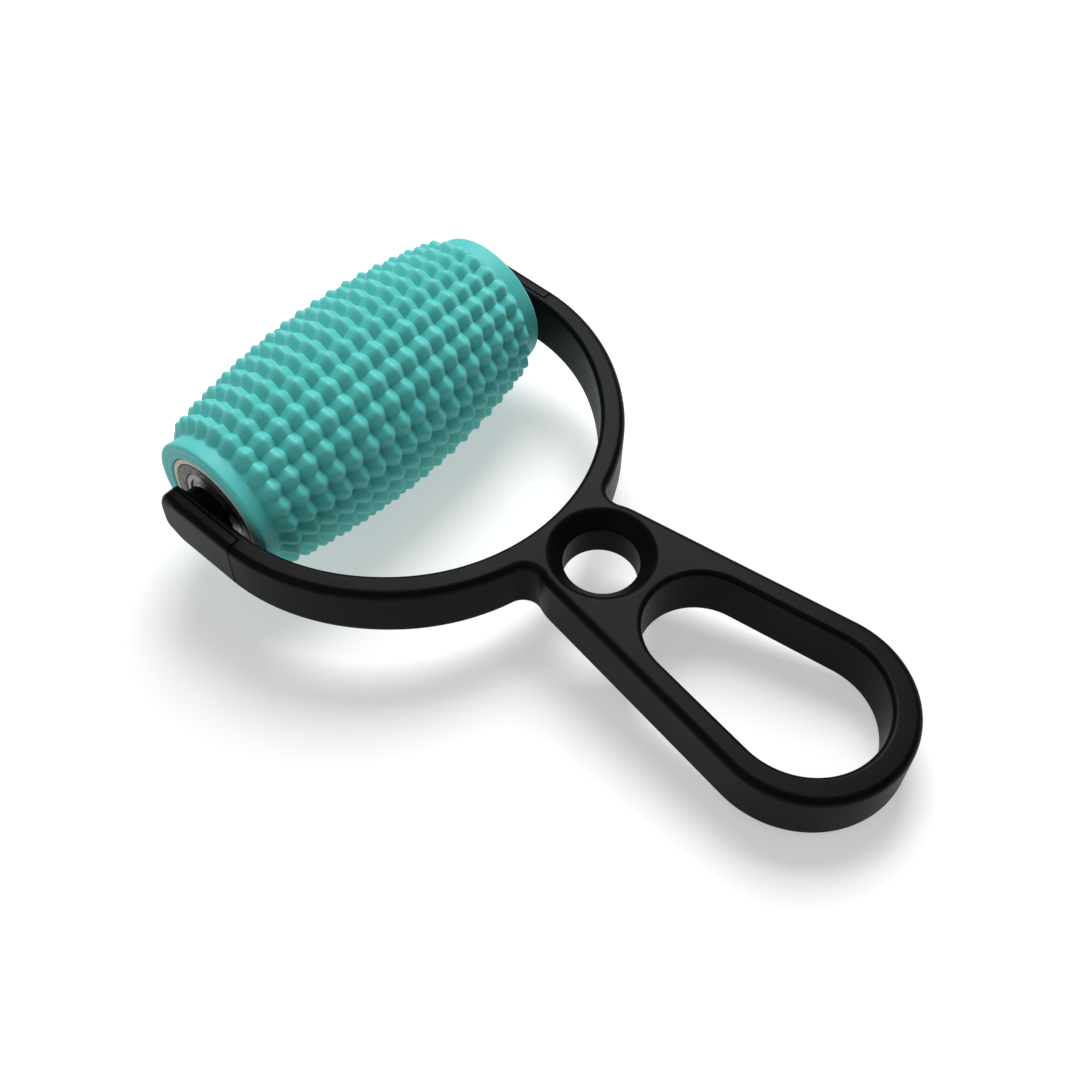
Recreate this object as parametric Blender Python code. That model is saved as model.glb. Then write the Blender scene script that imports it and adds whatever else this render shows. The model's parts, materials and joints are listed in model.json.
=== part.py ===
"""Foot massage roller.

A flat moulded handle with a finger hole and a hand loop ends in a fork. A fixed steel axle joins
the fork's arms and carries two ball bearings. They hold a plastic core tube with a soft sleeve of
rounded bumps, which rolls over the sole.

X runs along the axle, +Y from the handle to the roller, +Z up. The roller and the handle's end
rest on the plane z = 0, and the origin is under the middle of the whole object. Units are metres.
"""

import math

import bmesh
import bpy
from mathutils import Matrix, Vector

# ---- Driving dimensions ----------------------------------------------------------------------

# Roller
ROLLER_LENGTH = 0.1070        # sleeve, end face to end face
BUMP_TIP_RADIUS = 0.0294      # over the bumps at the middle of the barrel
END_TIP_RADIUS = 0.02374      # over the bumps at the ends of the bumpy stretch
BUMP_HEIGHT = 0.0022
BUMP_RINGS = 17
BUMPS_ROUND = 26
COLLAR_LENGTH = 0.0052        # the smooth stretch at each end of the sleeve
BUMP_TOP_SHARE = 0.36         # how much of its pitch a bump's blunt top takes
SLEEVE_END_WALL = 0.0049      # rubber round the tube at the end faces
SLEEVE_EDGE_ROUND = 0.0010
TUBE_WALL = 0.0016
TUBE_SETBACK = 0.0003         # tube end behind the sleeve's end face
TUBE_CHAMFER = 0.0005

# Bearings, the common 8 x 22 x 7 size
BORE_RADIUS = 0.0040
BEARING_RADIUS = 0.0110
BALL_RADIUS = 0.00198
BALL_COUNT = 7
INNER_LAND_SHARE = 0.3143     # of the way from the bore out to the bearing's rim
BALL_CIRCLE_SHARE = 0.5143
OUTER_LAND_SHARE = 0.7286
SHIELD_THICKNESS = 0.0004
SHIELD_SEAT_DEPTH = 0.0003    # how far the shields sit inside the bearing's faces
BEARING_SETBACK = 0.0003      # bearing's outer face behind the tube's end
CAGE_RING_THICKNESS = 0.0004
CAGE_RADIAL_GAP = 0.0005      # between the cage and the rings' lands
CAGE_FINGER_REACH = 0.0012    # past the balls' centres

# Bearing seats, the plugs in the tube's ends
SEAT_WALL = 0.00316           # between the bearing and the tube
SEAT_BEHIND = 0.0044          # from the bearing's shoulder to the seat's inboard end
SEAT_SETBACK = 0.0001         # seat's front behind the tube's end
SEAT_LIP = 0.0016             # how far the shoulder behind the bearing reaches in
SEAT_DISH = 0.0008            # the front's funnel, measured along the radius
SEAT_EDGE = 0.0005            # chamfer round the front

# Axle and its fastening
AXLE_FIT = 0.0001             # the axle's play in the bearings' bores
AXLE_CHAMFER = 0.0005
AXLE_SEAT_DEPTH = 0.0012      # how far the axle's end goes into the fork's boss
SCREW_RADIUS = 0.0020
SCREW_LENGTH = 0.0120
SCREW_HEAD_RADIUS = 0.0038
SCREW_HEAD_HEIGHT = 0.0022
SCREW_KEY_ACROSS_FLATS = 0.0025
SCREW_KEY_DEPTH = 0.0013
WASHER_RADIUS = 0.0042
WASHER_THICKNESS = 0.0008
BOSS_SIDE_WALL = 0.0041       # boss material round the axle's end
BOSS_ROOT_DRAFT = 0.0001
BOSS_WALL = 0.0015            # wall that the screw clamps
SPACER_WALL = 0.0017
SPACER_THICKNESS = 0.0005

# Handle, hub and fork
PLATE_THICKNESS = 0.01675
HUB_TO_FORK = 0.0104          # from the finger hole to the fork's outer circle
HUB_RADIUS = 0.0170
HUB_TO_HANDLE_END = 0.0637    # from the finger hole to the centre of the handle's round end
HANDLE_END_RADIUS = 0.02685
LOOP_TOP = 0.0329             # from the finger hole to the centre of the loop's narrow end
LOOP_TOP_RADIUS = 0.0156
LOOP_END_RADIUS = 0.0201
LOOP_END_INSET = 0.0007       # loop's wide end, nearer to the hub than the handle's round end
FINGER_HOLE_RADIUS = 0.0099
FINGER_LAND = 0.0089          # height of the finger hole's straight middle
FINGER_DISH_RADIUS = 0.0139
FORK_OUTER_CENTRE = 0.0167    # in front of the axle towards the hub
ARM_CLEARANCE = 0.0032        # between the roller's end and the arm
TONGUE_THICKNESS = 0.0020     # the arm behind its cover
FORK_CROTCH_THICKNESS = 0.0068
ARM_FLARE = 0.0011            # how far the arms stand outside the fork's circle
CROTCH_FILLET = 0.0050
ARM_TIP = 0.0101              # beyond the axle's centre
COVER_LENGTH = 0.0278
COVER_THICKNESS = 0.0039
OUTER_EDGE_ROUND = 0.0021
INNER_EDGE_ROUND = 0.0015
TIP_ROUND = 0.0042
TIP_ROUND_SHARE = 0.86        # of half the plate's thickness, so that a narrow flat is left
PEG_RADIUS = 0.0013
PEG_LENGTH = 0.0012
PEG_FROM_AXLE = (-0.0124, 0.0074)

# Clearances
SEAM = 0.0003                 # between pieces that rest on each other
PRESS_GAP = 0.00012           # between a piece and the seat it is pressed into
RUNNING_GAP = 0.00013         # between a ball and its grooves
CAGE_GAP = 0.0002             # between a ball and the cage's ring
SHIELD_GAP = 0.00022          # between the cage's ring and a shield
SCREW_CLEARANCE = 0.00035
HEAD_CLEARANCE = 0.0007

# How finely round shapes are cut
ROUND_STEPS = 32
BALL_DETAIL = 2
EDGE_STEPS = 2
ARC_STEP = math.radians(11)
WELD = 0.000001

# Colours: base colour, roughness, metallic
FINISHES = {
    "black_plastic": ((0.018, 0.018, 0.021), 0.42, 0.0),
    "teal_rubber": ((0.085, 0.390, 0.345), 0.55, 0.0),
    "cream_plastic": ((0.560, 0.500, 0.420), 0.45, 0.0),
    "seat_plastic": ((0.012, 0.012, 0.013), 0.50, 0.0),
    "bearing_steel": ((0.450, 0.450, 0.440), 0.28, 1.0),
    "shield_steel": ((0.640, 0.630, 0.610), 0.24, 1.0),
    "ball_steel": ((0.700, 0.700, 0.700), 0.12, 1.0),
    "axle_steel": ((0.420, 0.420, 0.430), 0.32, 1.0),
    "zinc_steel": ((0.520, 0.530, 0.550), 0.30, 1.0),
}

# ---- Places worked out from the dimensions ---------------------------------------------------

HALF_PLATE = PLATE_THICKNESS / 2
TIP_ROUND_HEIGHT = TIP_ROUND_SHARE * HALF_PLATE
BUMP_FIELD_LENGTH = ROLLER_LENGTH - 2 * COLLAR_LENGTH
AXLE_RADIUS = BORE_RADIUS - AXLE_FIT
BOSS_RADIUS = AXLE_RADIUS + BOSS_SIDE_WALL
BOSS_ROOT_RADIUS = BOSS_RADIUS + BOSS_ROOT_DRAFT
SPACER_RADIUS = BORE_RADIUS + SPACER_WALL
BEARING_SECTION = BEARING_RADIUS - BORE_RADIUS
INNER_LAND_RADIUS = BORE_RADIUS + INNER_LAND_SHARE * BEARING_SECTION
BALL_CIRCLE_RADIUS = BORE_RADIUS + BALL_CIRCLE_SHARE * BEARING_SECTION
OUTER_LAND_RADIUS = BORE_RADIUS + OUTER_LAND_SHARE * BEARING_SECTION
BEARING_WIDTH = 2 * (BALL_RADIUS + CAGE_GAP + CAGE_RING_THICKNESS + SHIELD_GAP + SHIELD_THICKNESS
                     + SHIELD_SEAT_DEPTH)
TUBE_INNER_RADIUS = BEARING_RADIUS + SEAT_WALL + 2 * PRESS_GAP
TUBE_RADIUS = TUBE_INNER_RADIUS + TUBE_WALL
SLEEVE_END_RADIUS = TUBE_RADIUS + SLEEVE_END_WALL
TUBE_END = ROLLER_LENGTH / 2 - TUBE_SETBACK
SEAT_FRONT = TUBE_END - SEAT_SETBACK
BEARING_FACE = TUBE_END - BEARING_SETBACK
BEARING_CENTRE = BEARING_FACE - BEARING_WIDTH / 2
SPACER_INNER = BEARING_FACE + PRESS_GAP
BOSS_FACE = SPACER_INNER + SPACER_THICKNESS + PRESS_GAP
AXLE_END = BOSS_FACE + AXLE_SEAT_DEPTH
CLAMP_WALL_INNER = AXLE_END + SEAM / 2
CLAMP_WALL_OUTER = CLAMP_WALL_INNER + BOSS_WALL
WASHER_INNER = CLAMP_WALL_OUTER + PRESS_GAP
HEAD_INNER = WASHER_INNER + WASHER_THICKNESS + PRESS_GAP
HEAD_OUTER = HEAD_INNER + SCREW_HEAD_HEIGHT
ARM_INNER = ROLLER_LENGTH / 2 + ARM_CLEARANCE
TONGUE_OUTER = ARM_INNER + TONGUE_THICKNESS
COVER_INNER = TONGUE_OUTER + SEAM
ARM_OUTER = COVER_INNER + COVER_THICKNESS
FORK_OUTER_RADIUS = ARM_OUTER - ARM_FLARE
COVER_START = ARM_TIP - COVER_LENGTH
HUB_Y = -(FORK_OUTER_CENTRE + FORK_OUTER_RADIUS + HUB_TO_FORK)
HANDLE_END_Y = HUB_Y - HUB_TO_HANDLE_END
LOOP_TOP_Y = HUB_Y - LOOP_TOP
LOOP_END_Y = HANDLE_END_Y + LOOP_END_INSET


# ---- Helpers ---------------------------------------------------------------------------------

def clear_scene():
    for old in list(bpy.data.objects):
        bpy.data.objects.remove(old, do_unlink=True)


def finish(name):
    material = bpy.data.materials.get(name)
    if material is None:
        colour, roughness, metallic = FINISHES[name]
        material = bpy.data.materials.new(name)
        material.use_nodes = True
        shader = material.node_tree.nodes["Principled BSDF"]
        shader.inputs["Base Color"].default_value = (*colour, 1.0)
        shader.inputs["Roughness"].default_value = roughness
        shader.inputs["Metallic"].default_value = metallic
        material.diffuse_color = (*colour, 1.0)
    return material


def empty(name):
    guide = bpy.data.objects.new(name, None)
    bpy.context.scene.collection.objects.link(guide)
    return guide


def add_piece(name, bm, finish_name, parent, place=(0.0, 0.0, 0.0)):
    """Turn a closed bmesh into a named, smooth-shaded object under a parent."""
    bmesh.ops.remove_doubles(bm, verts=bm.verts, dist=WELD)
    bmesh.ops.recalc_face_normals(bm, faces=bm.faces)
    mesh = bpy.data.meshes.new(name)
    bm.to_mesh(mesh)
    bm.free()
    mesh.shade_smooth()
    mesh.set_sharp_from_angle(angle=math.radians(35))
    piece = bpy.data.objects.new(name, mesh)
    bpy.context.scene.collection.objects.link(piece)
    piece.parent = parent
    piece.location = place
    piece.data.materials.append(finish(finish_name))
    return piece


def add_tool(name, bm, parent):
    """A hidden shape that only serves another piece's Boolean modifier."""
    bmesh.ops.recalc_face_normals(bm, faces=bm.faces)
    mesh = bpy.data.meshes.new(name)
    bm.to_mesh(mesh)
    bm.free()
    tool = bpy.data.objects.new(name, mesh)
    bpy.context.scene.collection.objects.link(tool)
    tool.parent = parent
    tool.hide_render = True
    tool.display_type = "WIRE"
    return tool


def boolean(piece, tool, operation):
    modifier = piece.modifiers.new(f"{operation.lower()}_{tool.name}", "BOOLEAN")
    modifier.operation = operation
    modifier.solver = "EXACT"
    modifier.object = tool


def join_rings(bm, first, second):
    """Skin two rings of as many vertices; a ring of one vertex makes a fan."""
    count = max(len(first), len(second))
    for i in range(count):
        j = (i + 1) % count
        if len(first) == 1:
            bm.faces.new((first[0], second[i], second[j]))
        elif len(second) == 1:
            bm.faces.new((first[i], first[j], second[0]))
        else:
            bm.faces.new((first[i], first[j], second[j], second[i]))


def turned(profile, steps=ROUND_STEPS, closed=False, phase=0.0):
    """Turn a profile of (x, radius) points about the X axis.

    A closed profile comes back to its first point, and an open one starts and ends on the axis.
    A third value in a point gives a radius rule, a function of the angle. The phase turns the
    facets by a share of one step.
    """
    bm = bmesh.new()
    rings = []
    for point in profile:
        x, radius = point[:2]
        rule = point[2] if len(point) > 2 else None
        if radius == 0.0:
            rings.append([bm.verts.new((x, 0.0, 0.0))])
            continue
        ring = []
        for k in range(steps):
            angle = 2 * math.pi * (k + phase) / steps
            r = radius * rule(angle) if rule else radius
            ring.append(bm.verts.new((x, r * math.cos(angle), r * math.sin(angle))))
        rings.append(ring)
    pairs = list(zip(rings, rings[1:]))
    if closed:
        pairs.append((rings[-1], rings[0]))
    for first, second in pairs:
        join_rings(bm, first, second)
    return bm


def mirrored(profile, side):
    return [(side * point[0], *point[1:]) for point in profile]


def hexagon(angle):
    """Radius rule: a hexagon whose flats are at a radius of one."""
    sixth = math.pi / 3
    return 1.0 / math.cos(angle % sixth - sixth / 2)


def moved(bm, offset):
    bmesh.ops.translate(bm, verts=bm.verts, vec=offset)
    return bm


# ---- Roller ----------------------------------------------------------------------------------

def bump_tip_radius(x):
    """Radius over the bumps: an arc through the barrel's middle and the bumpy stretch's ends."""
    drop = BUMP_TIP_RADIUS - END_TIP_RADIUS
    crown = ((BUMP_FIELD_LENGTH / 2) ** 2 + drop ** 2) / (2 * drop)
    return BUMP_TIP_RADIUS - (crown - math.sqrt(crown * crown - x * x))


def make_sleeve(parent):
    """The soft sleeve: rings of blunt pyramids on a barrel, with smooth collars and a bore."""
    bm = bmesh.new()
    pitch = BUMP_FIELD_LENGTH / BUMP_RINGS
    turn = 2 * math.pi / BUMPS_ROUND
    start = -BUMP_FIELD_LENGTH / 2

    def vertex(x, radius, step):
        angle = -math.pi / 2 + turn * step
        return bm.verts.new((x, radius * math.cos(angle), radius * math.sin(angle)))

    valleys = []
    for line in range(BUMP_RINGS + 1):
        x = start + pitch * line
        valley = bump_tip_radius(x) - BUMP_HEIGHT
        valleys.append([vertex(x, valley, step - 0.5) for step in range(BUMPS_ROUND)])
    reach = BUMP_TOP_SHARE / 2
    for line in range(BUMP_RINGS):
        x = start + pitch * (line + 0.5)
        tip = bump_tip_radius(x)
        for step in range(BUMPS_ROUND):
            ahead = (step + 1) % BUMPS_ROUND
            foot = (valleys[line][step], valleys[line + 1][step],
                    valleys[line + 1][ahead], valleys[line][ahead])
            corners = ((-reach, -reach), (reach, -reach), (reach, reach), (-reach, reach))
            top = [vertex(x + pitch * along, tip, step + across) for along, across in corners]
            bm.faces.new(top)
            for k in range(4):
                m = (k + 1) % 4
                bm.faces.new((foot[k], foot[m], top[m], top[k]))

    bore = TUBE_RADIUS + PRESS_GAP
    half = ROLLER_LENGTH / 2
    fine = 2 * BUMPS_ROUND
    for side, valley in ((-1, valleys[0]), (1, valleys[-1])):
        collar = (
            (half - SLEEVE_EDGE_ROUND, SLEEVE_END_RADIUS),
            (half - 0.3 * SLEEVE_EDGE_ROUND, SLEEVE_END_RADIUS - 0.3 * SLEEVE_EDGE_ROUND),
            (half, SLEEVE_END_RADIUS - SLEEVE_EDGE_ROUND),
            (half, bore),
        )
        rings = [[vertex(side * x, radius, k / 2 - 0.5) for k in range(fine)]
                 for x, radius in collar]
        for step in range(BUMPS_ROUND):
            here, ahead = valley[step], valley[(step + 1) % BUMPS_ROUND]
            a, b, c = (rings[0][(2 * step + k) % fine] for k in range(3))
            bm.faces.new((here, a, b))
            bm.faces.new((here, b, ahead))
            bm.faces.new((ahead, b, c))
        for first, second in zip(rings, rings[1:]):
            join_rings(bm, first, second)
        if side < 0:
            left_bore = rings[-1]
    join_rings(bm, left_bore, rings[-1])
    return add_piece("roller_sleeve", bm, "teal_rubber", parent)


def make_core_tube(parent):
    inner = TUBE_INNER_RADIUS
    end, cut = TUBE_END, TUBE_CHAMFER
    profile = [(-end, inner), (-end, TUBE_RADIUS - cut), (-end + cut, TUBE_RADIUS),
               (end - cut, TUBE_RADIUS), (end, TUBE_RADIUS - cut), (end, inner)]
    tube = turned(profile, steps=2 * BUMPS_ROUND, closed=True)
    return add_piece("core_tube", tube, "cream_plastic", parent)


def make_bearing_seat(name, side, parent):
    """A plug in the tube's end, with a bore and a shoulder for the bearing."""
    outer = TUBE_INNER_RADIUS - PRESS_GAP
    bore = BEARING_RADIUS + PRESS_GAP
    shoulder = BEARING_FACE - BEARING_WIDTH - PRESS_GAP
    back = shoulder - SEAT_BEHIND
    cut = SEAT_EDGE
    profile = [(SEAT_FRONT - cut, outer), (SEAT_FRONT, outer - cut),
               (SEAT_FRONT, bore + SEAT_DISH), (BEARING_FACE, bore),
               (shoulder, bore), (shoulder, bore - SEAT_LIP), (back, bore - SEAT_LIP),
               (back, outer)]
    seat = turned(mirrored(profile, side), steps=2 * BUMPS_ROUND, closed=True)
    return add_piece(name, seat, "seat_plastic", parent)


# ---- Bearings --------------------------------------------------------------------------------

def groove(radius_at_middle, land_radius, outward):
    """Points of a ball groove across the bearing's middle, as (offset, radius)."""
    ball = BALL_RADIUS + RUNNING_GAP
    sign = 1 if outward else -1
    middle = radius_at_middle - sign * ball
    points = []
    half_width = math.sqrt(max(ball * ball - (land_radius - middle) ** 2, 0.0))
    for share in (-1.0, -0.4, 0.4, 1.0):
        offset = half_width * share
        points.append((offset, middle + sign * math.sqrt(ball * ball - offset * offset)))
    return points


def make_inner_ring(name, side, parent):
    half = BEARING_WIDTH / 2
    bore = BORE_RADIUS + PRESS_GAP / 2
    bottom = BALL_CIRCLE_RADIUS - BALL_RADIUS - RUNNING_GAP
    profile = [(-half, bore), (-half, INNER_LAND_RADIUS)]
    profile += groove(bottom, INNER_LAND_RADIUS, outward=False)
    profile += [(half, INNER_LAND_RADIUS), (half, bore)]
    ring = turned(mirrored(profile, side), closed=True)
    return add_piece(name, ring, "bearing_steel", parent, (side * BEARING_CENTRE, 0, 0))


def make_outer_ring(name, side, parent):
    half = BEARING_WIDTH / 2
    bottom = BALL_CIRCLE_RADIUS + BALL_RADIUS + RUNNING_GAP
    step = half - SHIELD_SEAT_DEPTH - SHIELD_THICKNESS - PRESS_GAP
    rim = OUTER_LAND_RADIUS + SHIELD_THICKNESS
    profile = [(-half, BEARING_RADIUS), (-half, rim), (-step, rim), (-step, OUTER_LAND_RADIUS)]
    profile += groove(bottom, OUTER_LAND_RADIUS, outward=True)
    profile += [(step, OUTER_LAND_RADIUS), (step, rim), (half, rim), (half, BEARING_RADIUS)]
    ring = turned(mirrored(profile, side), closed=True)
    return add_piece(name, ring, "bearing_steel", parent, (side * BEARING_CENTRE, 0, 0))


def make_shield(name, side, facing, parent):
    """A thin dished washer that closes the bearing; facing is 1 outwards and -1 inwards."""
    outer = OUTER_LAND_RADIUS + SHIELD_THICKNESS - PRESS_GAP
    inner = INNER_LAND_RADIUS + PRESS_GAP
    face = BEARING_WIDTH / 2 - SHIELD_SEAT_DEPTH
    profile = [(face, inner), (face, outer), (face - SHIELD_THICKNESS, outer),
               (face - SHIELD_THICKNESS, inner)]
    shield = turned(mirrored(profile, side * facing), closed=True)
    return add_piece(name, shield, "shield_steel", parent, (side * BEARING_CENTRE, 0, 0))


def make_cage(name, side, parent):
    """A crown cage: a ring on the inboard side of the balls, with a finger between each pair."""
    steps_per_ball = 4
    steps = steps_per_ball * BALL_COUNT
    inner = INNER_LAND_RADIUS + CAGE_RADIAL_GAP
    outer = OUTER_LAND_RADIUS - CAGE_RADIAL_GAP
    ring_face = -(BALL_RADIUS + CAGE_GAP)
    ring_back = ring_face - CAGE_RING_THICKNESS
    bm = bmesh.new()

    def vertex(x, radius, step):
        angle = 2 * math.pi * step / steps
        return bm.verts.new((side * x, radius * math.cos(angle), radius * math.sin(angle)))

    corners = [[vertex(x, radius, k - 0.5) for k in range(steps)]
               for x, radius in ((ring_back, inner), (ring_back, outer),
                                 (ring_face, outer), (ring_face, inner))]
    join_rings(bm, corners[0], corners[1])
    join_rings(bm, corners[1], corners[2])
    join_rings(bm, corners[3], corners[0])
    for k in range(steps):
        m = (k + 1) % steps
        foot = [corners[2][k], corners[2][m], corners[3][m], corners[3][k]]
        if k % steps_per_ball != steps_per_ball // 2:
            bm.faces.new(foot)
            continue
        top = [vertex(CAGE_FINGER_REACH, radius, step)
               for radius, step in ((outer, k - 0.5), (outer, k + 0.5),
                                    (inner, k + 0.5), (inner, k - 0.5))]
        for i in range(4):
            j = (i + 1) % 4
            bm.faces.new((foot[i], foot[j], top[j], top[i]))
        bm.faces.new(top)
    return add_piece(name, bm, "bearing_steel", parent)


def make_balls(side_name, parent):
    """The balls, each its own object; they share the circle that the cage spaces them on."""
    for k in range(BALL_COUNT):
        bm = bmesh.new()
        bmesh.ops.create_icosphere(bm, subdivisions=BALL_DETAIL, radius=BALL_RADIUS)
        angle = 2 * math.pi * k / BALL_COUNT
        place = (0, BALL_CIRCLE_RADIUS * math.cos(angle), BALL_CIRCLE_RADIUS * math.sin(angle))
        add_piece(f"{side_name}_ball_{k + 1}", bm, "ball_steel", parent, place)


# ---- Axle and fasteners ----------------------------------------------------------------------

def make_axle(parent):
    """A plain rod with a tapped hole in each end."""
    end, cut = AXLE_END, AXLE_CHAMFER
    hole = SCREW_RADIUS + PRESS_GAP
    depth = HEAD_INNER - SCREW_LENGTH - 0.0010
    profile = [(-depth, 0), (-depth, hole), (-end, hole), (-end, AXLE_RADIUS - cut),
               (-end + cut, AXLE_RADIUS), (end - cut, AXLE_RADIUS), (end, AXLE_RADIUS - cut),
               (end, hole), (depth, hole), (depth, 0)]
    return add_piece("axle", turned(profile, steps=24), "axle_steel", parent)


def make_spacer(name, side, parent):
    bore = BORE_RADIUS + PRESS_GAP / 2
    outer_face = SPACER_INNER + SPACER_THICKNESS
    profile = [(SPACER_INNER, bore), (SPACER_INNER, SPACER_RADIUS),
               (outer_face, SPACER_RADIUS), (outer_face, bore)]
    spacer = turned(mirrored(profile, side), closed=True)
    return add_piece(name, spacer, "zinc_steel", parent)


def make_washer(name, side, parent):
    hole = SCREW_RADIUS + SCREW_CLEARANCE
    outer_face = WASHER_INNER + WASHER_THICKNESS
    profile = [(WASHER_INNER, hole), (WASHER_INNER, WASHER_RADIUS),
               (outer_face, WASHER_RADIUS), (outer_face, hole)]
    washer = turned(mirrored(profile, side), steps=24, closed=True)
    return add_piece(name, washer, "zinc_steel", parent)


def make_screw(name, side, parent):
    """A button-head screw with a hexagon socket."""
    tip = HEAD_INNER - SCREW_LENGTH
    key = SCREW_KEY_ACROSS_FLATS / 2
    key_floor = HEAD_OUTER - SCREW_KEY_DEPTH
    profile = [(tip, 0), (tip, SCREW_RADIUS - 0.0004), (tip + 0.0004, SCREW_RADIUS),
               (HEAD_INNER, SCREW_RADIUS), (HEAD_INNER, SCREW_HEAD_RADIUS),
               (HEAD_INNER + 0.3 * SCREW_HEAD_HEIGHT, SCREW_HEAD_RADIUS),
               (HEAD_INNER + 0.75 * SCREW_HEAD_HEIGHT, 0.85 * SCREW_HEAD_RADIUS),
               (HEAD_OUTER, 0.6 * SCREW_HEAD_RADIUS), (HEAD_OUTER, key, hexagon),
               (key_floor, key, hexagon), (key_floor, 0)]
    screw = turned(mirrored(profile, side), steps=24)
    return add_piece(name, screw, "zinc_steel", parent)


# ---- Handle ----------------------------------------------------------------------------------

class Outline:
    """A closed outline in plan, whose points also say how their edge is rounded.

    Each point is (x, y, inset x, inset y, height): the top and bottom outline lie inset from the
    wall, and the rounding between them takes that height.
    """

    def __init__(self):
        self.points = []

    def add(self, x, y, inset=(0.0, 0.0), height=0.0):
        self.points.append((x, y, inset[0], inset[1], height))

    def arc(self, centre, radius, start, end, rounding, hollow=False, ends=(True, True)):
        """Add an arc; hollow means that the material lies outside the arc's circle."""
        steps = max(2, math.ceil(abs(end - start) / ARC_STEP))
        facing = -1 if hollow else 1
        for k in range(steps + 1):
            if (k == 0 and not ends[0]) or (k == steps and not ends[1]):
                continue
            angle = start + (end - start) * k / steps
            r = radius(angle) if callable(radius) else radius
            nx, ny = math.cos(angle), math.sin(angle)
            self.add(centre[0] + r * nx, centre[1] + r * ny,
                     (facing * rounding * nx, facing * rounding * ny), rounding)

    def mirror_back(self):
        """Close an outline that runs from the lowest to the highest point of the right half."""
        self.points += [(-x, y, -ix, iy, h) for x, y, ix, iy, h in reversed(self.points)
                        if abs(x) > 1e-7]

    def rings(self, bm):
        """Vertex rings from the bottom face up to the top face."""
        turns = [math.pi / 2 * k / EDGE_STEPS for k in range(EDGE_STEPS, -1, -1)]
        result = []
        for up in (-1, 1):
            for turn in (turns if up < 0 else reversed(turns)):
                ring = []
                for x, y, ix, iy, h in self.points:
                    share = 1 - math.cos(turn)
                    z = up * (HALF_PLATE - h + h * math.sin(turn))
                    ring.append(bm.verts.new((x - ix * share, y - iy * share, z)))
                result.append(ring)
        return result


def skin(bm, rings):
    for first, second in zip(rings, rings[1:]):
        join_rings(bm, first, second)


def cap_both_faces(bm):
    """Fill the flat top and bottom, each between its outer ring and any rings inside it."""
    bmesh.ops.remove_doubles(bm, verts=bm.verts, dist=WELD)
    for up in (-1, 1):
        edges = [e for e in bm.edges if e.is_boundary and e.verts[0].co.z * up > 0]
        bmesh.ops.triangle_fill(bm, use_beauty=True, edges=edges)


def arm_radius(base):
    """The fork's circle, eased outwards by the flare as it turns into a straight arm."""
    def rule(angle):
        share = min(max(1 + math.degrees(angle) / 45, 0.0), 1.0)
        return base + ARM_FLARE * share * share * (3 - 2 * share)
    return rule


def yoke_outline():
    """Right half of the handle, hub and fork from above, mirrored to the left."""
    line = Outline()
    edge = OUTER_EDGE_ROUND
    side_slope = math.asin((HANDLE_END_RADIUS - HUB_RADIUS) / HUB_TO_HANDLE_END)
    line.arc((0, HANDLE_END_Y), HANDLE_END_RADIUS, -math.pi / 2, side_slope, edge)

    fork_y = -FORK_OUTER_CENTRE
    apart = fork_y - HUB_Y
    to_hub = HUB_RADIUS + CROTCH_FILLET
    to_fork = FORK_OUTER_RADIUS + CROTCH_FILLET
    fillet_up = (to_hub ** 2 - to_fork ** 2 + apart ** 2) / (2 * apart)
    fillet_x = math.sqrt(to_hub ** 2 - fillet_up ** 2)
    hub_angle = math.atan2(fillet_up, fillet_x)
    fork_angle = math.atan2(fillet_up - apart, fillet_x)
    line.arc((0, HUB_Y), HUB_RADIUS, side_slope, hub_angle, edge)
    line.arc((fillet_x, HUB_Y + fillet_up), CROTCH_FILLET, math.pi + hub_angle,
             math.pi + fork_angle, edge, hollow=True, ends=(False, False))
    seam_y = COVER_START - SEAM
    seam_angle = math.asin(min((seam_y - fork_y) / ARM_OUTER, 0.0))
    line.arc((0, fork_y), arm_radius(FORK_OUTER_RADIUS), fork_angle, seam_angle, edge,
             ends=(True, False))
    line.add(ARM_OUTER, seam_y, (edge, 0), edge)
    line.add(TONGUE_OUTER, seam_y)
    line.add(TONGUE_OUTER, ARM_TIP, (0, TIP_ROUND), TIP_ROUND_HEIGHT)
    line.add(ARM_INNER + INNER_EDGE_ROUND / 2, ARM_TIP, (0, TIP_ROUND), TIP_ROUND_HEIGHT)
    line.add(ARM_INNER, ARM_TIP - INNER_EDGE_ROUND / 2, (-INNER_EDGE_ROUND / 2, TIP_ROUND / 2),
             TIP_ROUND_HEIGHT / 2)
    line.add(ARM_INNER, ARM_TIP - 2 * TIP_ROUND, (-INNER_EDGE_ROUND, 0), INNER_EDGE_ROUND)

    inner_radius = ARM_INNER - ARM_FLARE
    inner_y = fork_y - FORK_OUTER_RADIUS + FORK_CROTCH_THICKNESS + inner_radius
    line.arc((0, inner_y), arm_radius(inner_radius), 0, -math.pi / 2, INNER_EDGE_ROUND, hollow=True)
    line.mirror_back()
    return line


def loop_outline():
    """The hand loop: two arcs and their tangents."""
    line = Outline()
    slope = math.asin((LOOP_END_RADIUS - LOOP_TOP_RADIUS) / (LOOP_TOP_Y - LOOP_END_Y))
    line.arc((0, LOOP_END_Y), LOOP_END_RADIUS, -math.pi / 2, slope, INNER_EDGE_ROUND, hollow=True)
    line.arc((0, LOOP_TOP_Y), LOOP_TOP_RADIUS, slope, math.pi / 2, INNER_EDGE_ROUND, hollow=True)
    line.mirror_back()
    return line


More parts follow.
